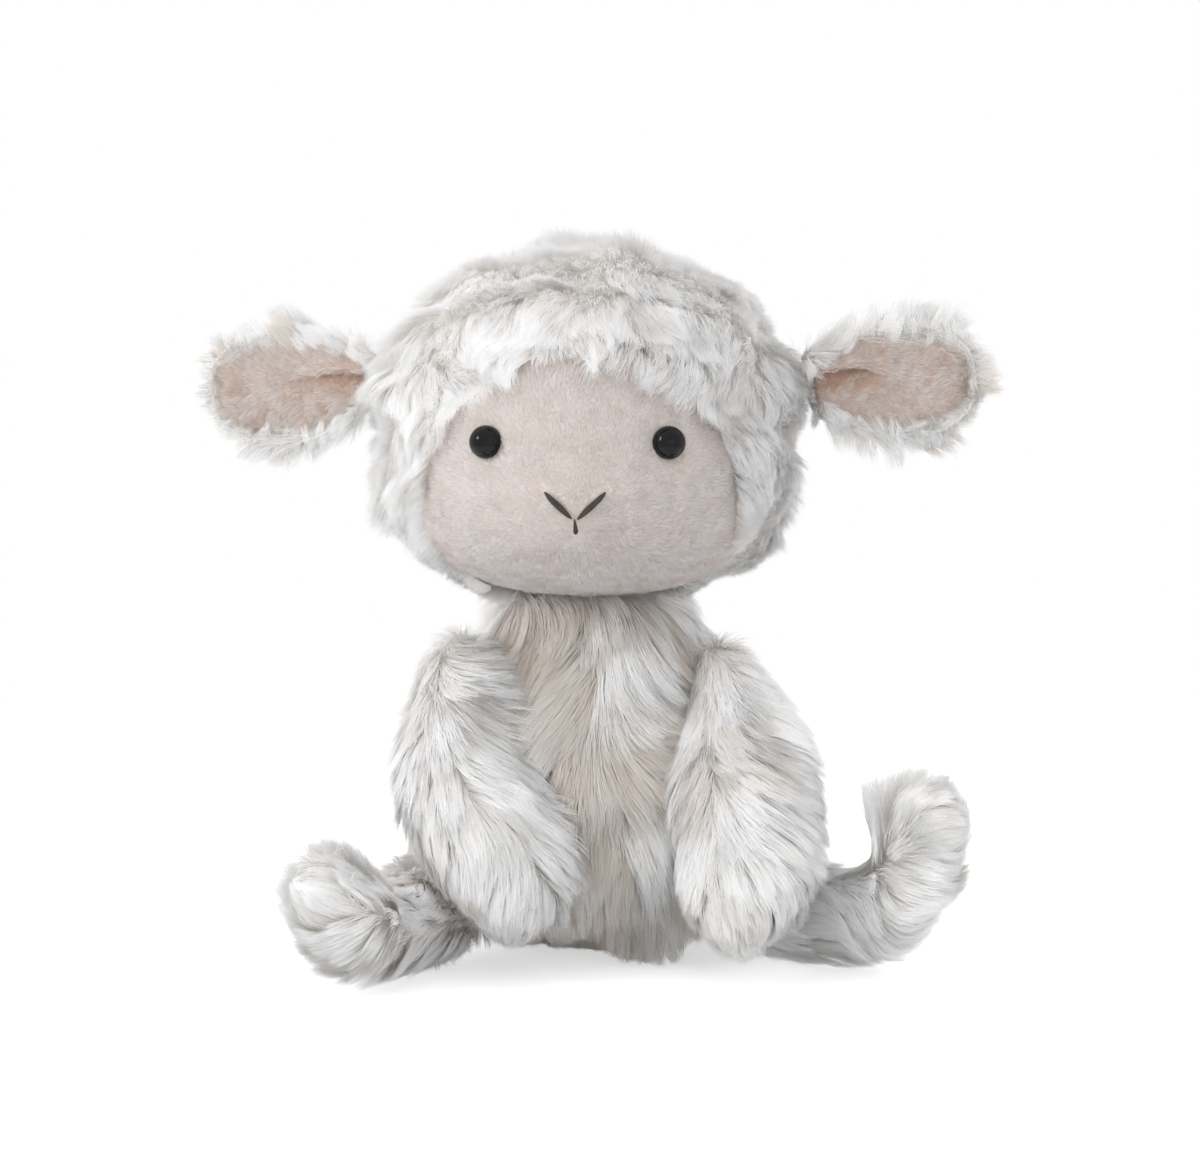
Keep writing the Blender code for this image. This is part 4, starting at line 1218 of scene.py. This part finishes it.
def make_stitch(node):
    """A satin stitch: a few twisted threads, side by side, that meet at both ends."""
    spine = stitch_route(node)
    axis = unit(spine[-1] - spine[0])
    curve = bpy.data.curves.new(node, "CURVE")
    curve.dimensions = "3D"
    curve.bevel_depth = THREAD_RADIUS
    curve.bevel_resolution = 3
    curve.use_fill_caps = True
    across = np.cross(axis, (0.0, -1.0, 0.0))
    threads = 5
    for thread in range(threads):
        offset = (thread - (threads - 1) / 2) / threads
        spline = curve.splines.new("POLY")
        steps = 14
        spline.points.add(steps)
        for step, spot in enumerate(spline.points):
            share = step / steps
            at = share * (len(spine) - 1)
            index = min(int(at), len(spine) - 2)
            base = spine[index] + (spine[index + 1] - spine[index]) * (at - index)
            bulge = math.sin(math.pi * share) ** 0.6
            turn = share * math.tau * 1.5 + thread
            place = base + across * offset * STITCH_SPREAD * bulge
            rise = STITCH_RISE + 0.0004 * bulge * (1.0 - abs(offset) + 0.3 * math.sin(turn))
            place = place + np.array((0.0, -rise, -STITCH_DROP))
            spot.co = (*place, 1.0)
            spot.radius = 0.55 + 0.45 * bulge
            if node == "mouth_stitch":
                spot.radius *= MOUTH_THREAD * (1.0 - 0.6 * share)
    obj = bpy.data.objects.new(node, curve)
    bpy.context.scene.collection.objects.link(obj)
    mesh = bpy.data.meshes.new_from_object(obj.evaluated_get(bpy.context.evaluated_depsgraph_get()))
    bpy.data.objects.remove(obj)
    finished(f"{node}_thread", mesh, MATERIALS["thread"], "head", [node])


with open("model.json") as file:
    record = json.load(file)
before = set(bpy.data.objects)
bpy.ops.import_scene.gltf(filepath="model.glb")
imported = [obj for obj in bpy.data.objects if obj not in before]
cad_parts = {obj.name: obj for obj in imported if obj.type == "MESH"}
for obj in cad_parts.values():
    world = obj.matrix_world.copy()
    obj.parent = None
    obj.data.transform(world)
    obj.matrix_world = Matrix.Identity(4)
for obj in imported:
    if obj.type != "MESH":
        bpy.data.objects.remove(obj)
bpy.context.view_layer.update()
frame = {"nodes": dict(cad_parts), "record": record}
make_camera()
for lamp_name, (lamp_place, lamp_size, lamp_power) in LAMPS.items():
    make_lamp(lamp_name, lamp_place, lamp_size, lamp_power)
make_world()
make_floor()
bpy.context.scene.view_settings.view_transform = "Standard"

MATERIALS = {
    name: pile_material(name, *colours)
    for name, colours in PILE_COLOURS.items()
}
MATERIALS |= {
    # painted shade: the backings are coloured darker than their piles, as the shade deep in the pile between
    # its strands
    "backing": woven_material("backing", (0.64, 0.60, 0.56), (0.74, 0.71, 0.68), 900.0, 0.4),
    "face_backing": woven_material("face_backing", (0.66, 0.56, 0.48), (0.76, 0.67, 0.60), 900.0, 0.3),
    "lining_backing": woven_material("lining_backing", (0.56, 0.43, 0.36), (0.68, 0.55, 0.48), 900.0, 0.3),
    "fibre": woven_material("fibre", (0.82, 0.82, 0.81), (0.94, 0.94, 0.93), 500.0, 0.6),
    "pouch": woven_material("pouch", (0.66, 0.65, 0.60), (0.78, 0.77, 0.72), 1200.0, 0.5),
    "thread": woven_material("thread", (0.016, 0.012, 0.011), (0.055, 0.042, 0.036), 1500.0, 0.6, 0.6),
    "washer": woven_material("washer", (0.80, 0.80, 0.78), (0.88, 0.88, 0.86), 200.0, 0.1, 0.5),
    "gloss": gloss_material(),
}

make_head()
make_body()
for side_name, side_sign in SIDES.items():
    make_eye(side_name)
    make_ear(side_name, side_sign)
    arm, leg = f"{side_name}_arm", f"{side_name}_leg"
    step = SEED_STEP * int(side_sign)
    make_limb(arm, f"{arm}_raise", ARM_SEED - step, ARM_STROKES[side_name], LIMB_COAT)
    make_limb(leg, f"{leg}_swing", LEG_SEED - step, LEG_STROKES[side_name], LEG_COAT)
    washer = frame["nodes"][f"{side_name}_eye_washer"]
    washer.data.materials.clear()
    washer.data.materials.append(MATERIALS["washer"])
make_tail()
make_fillings()
for stitch in STITCHES:
    make_stitch(stitch)
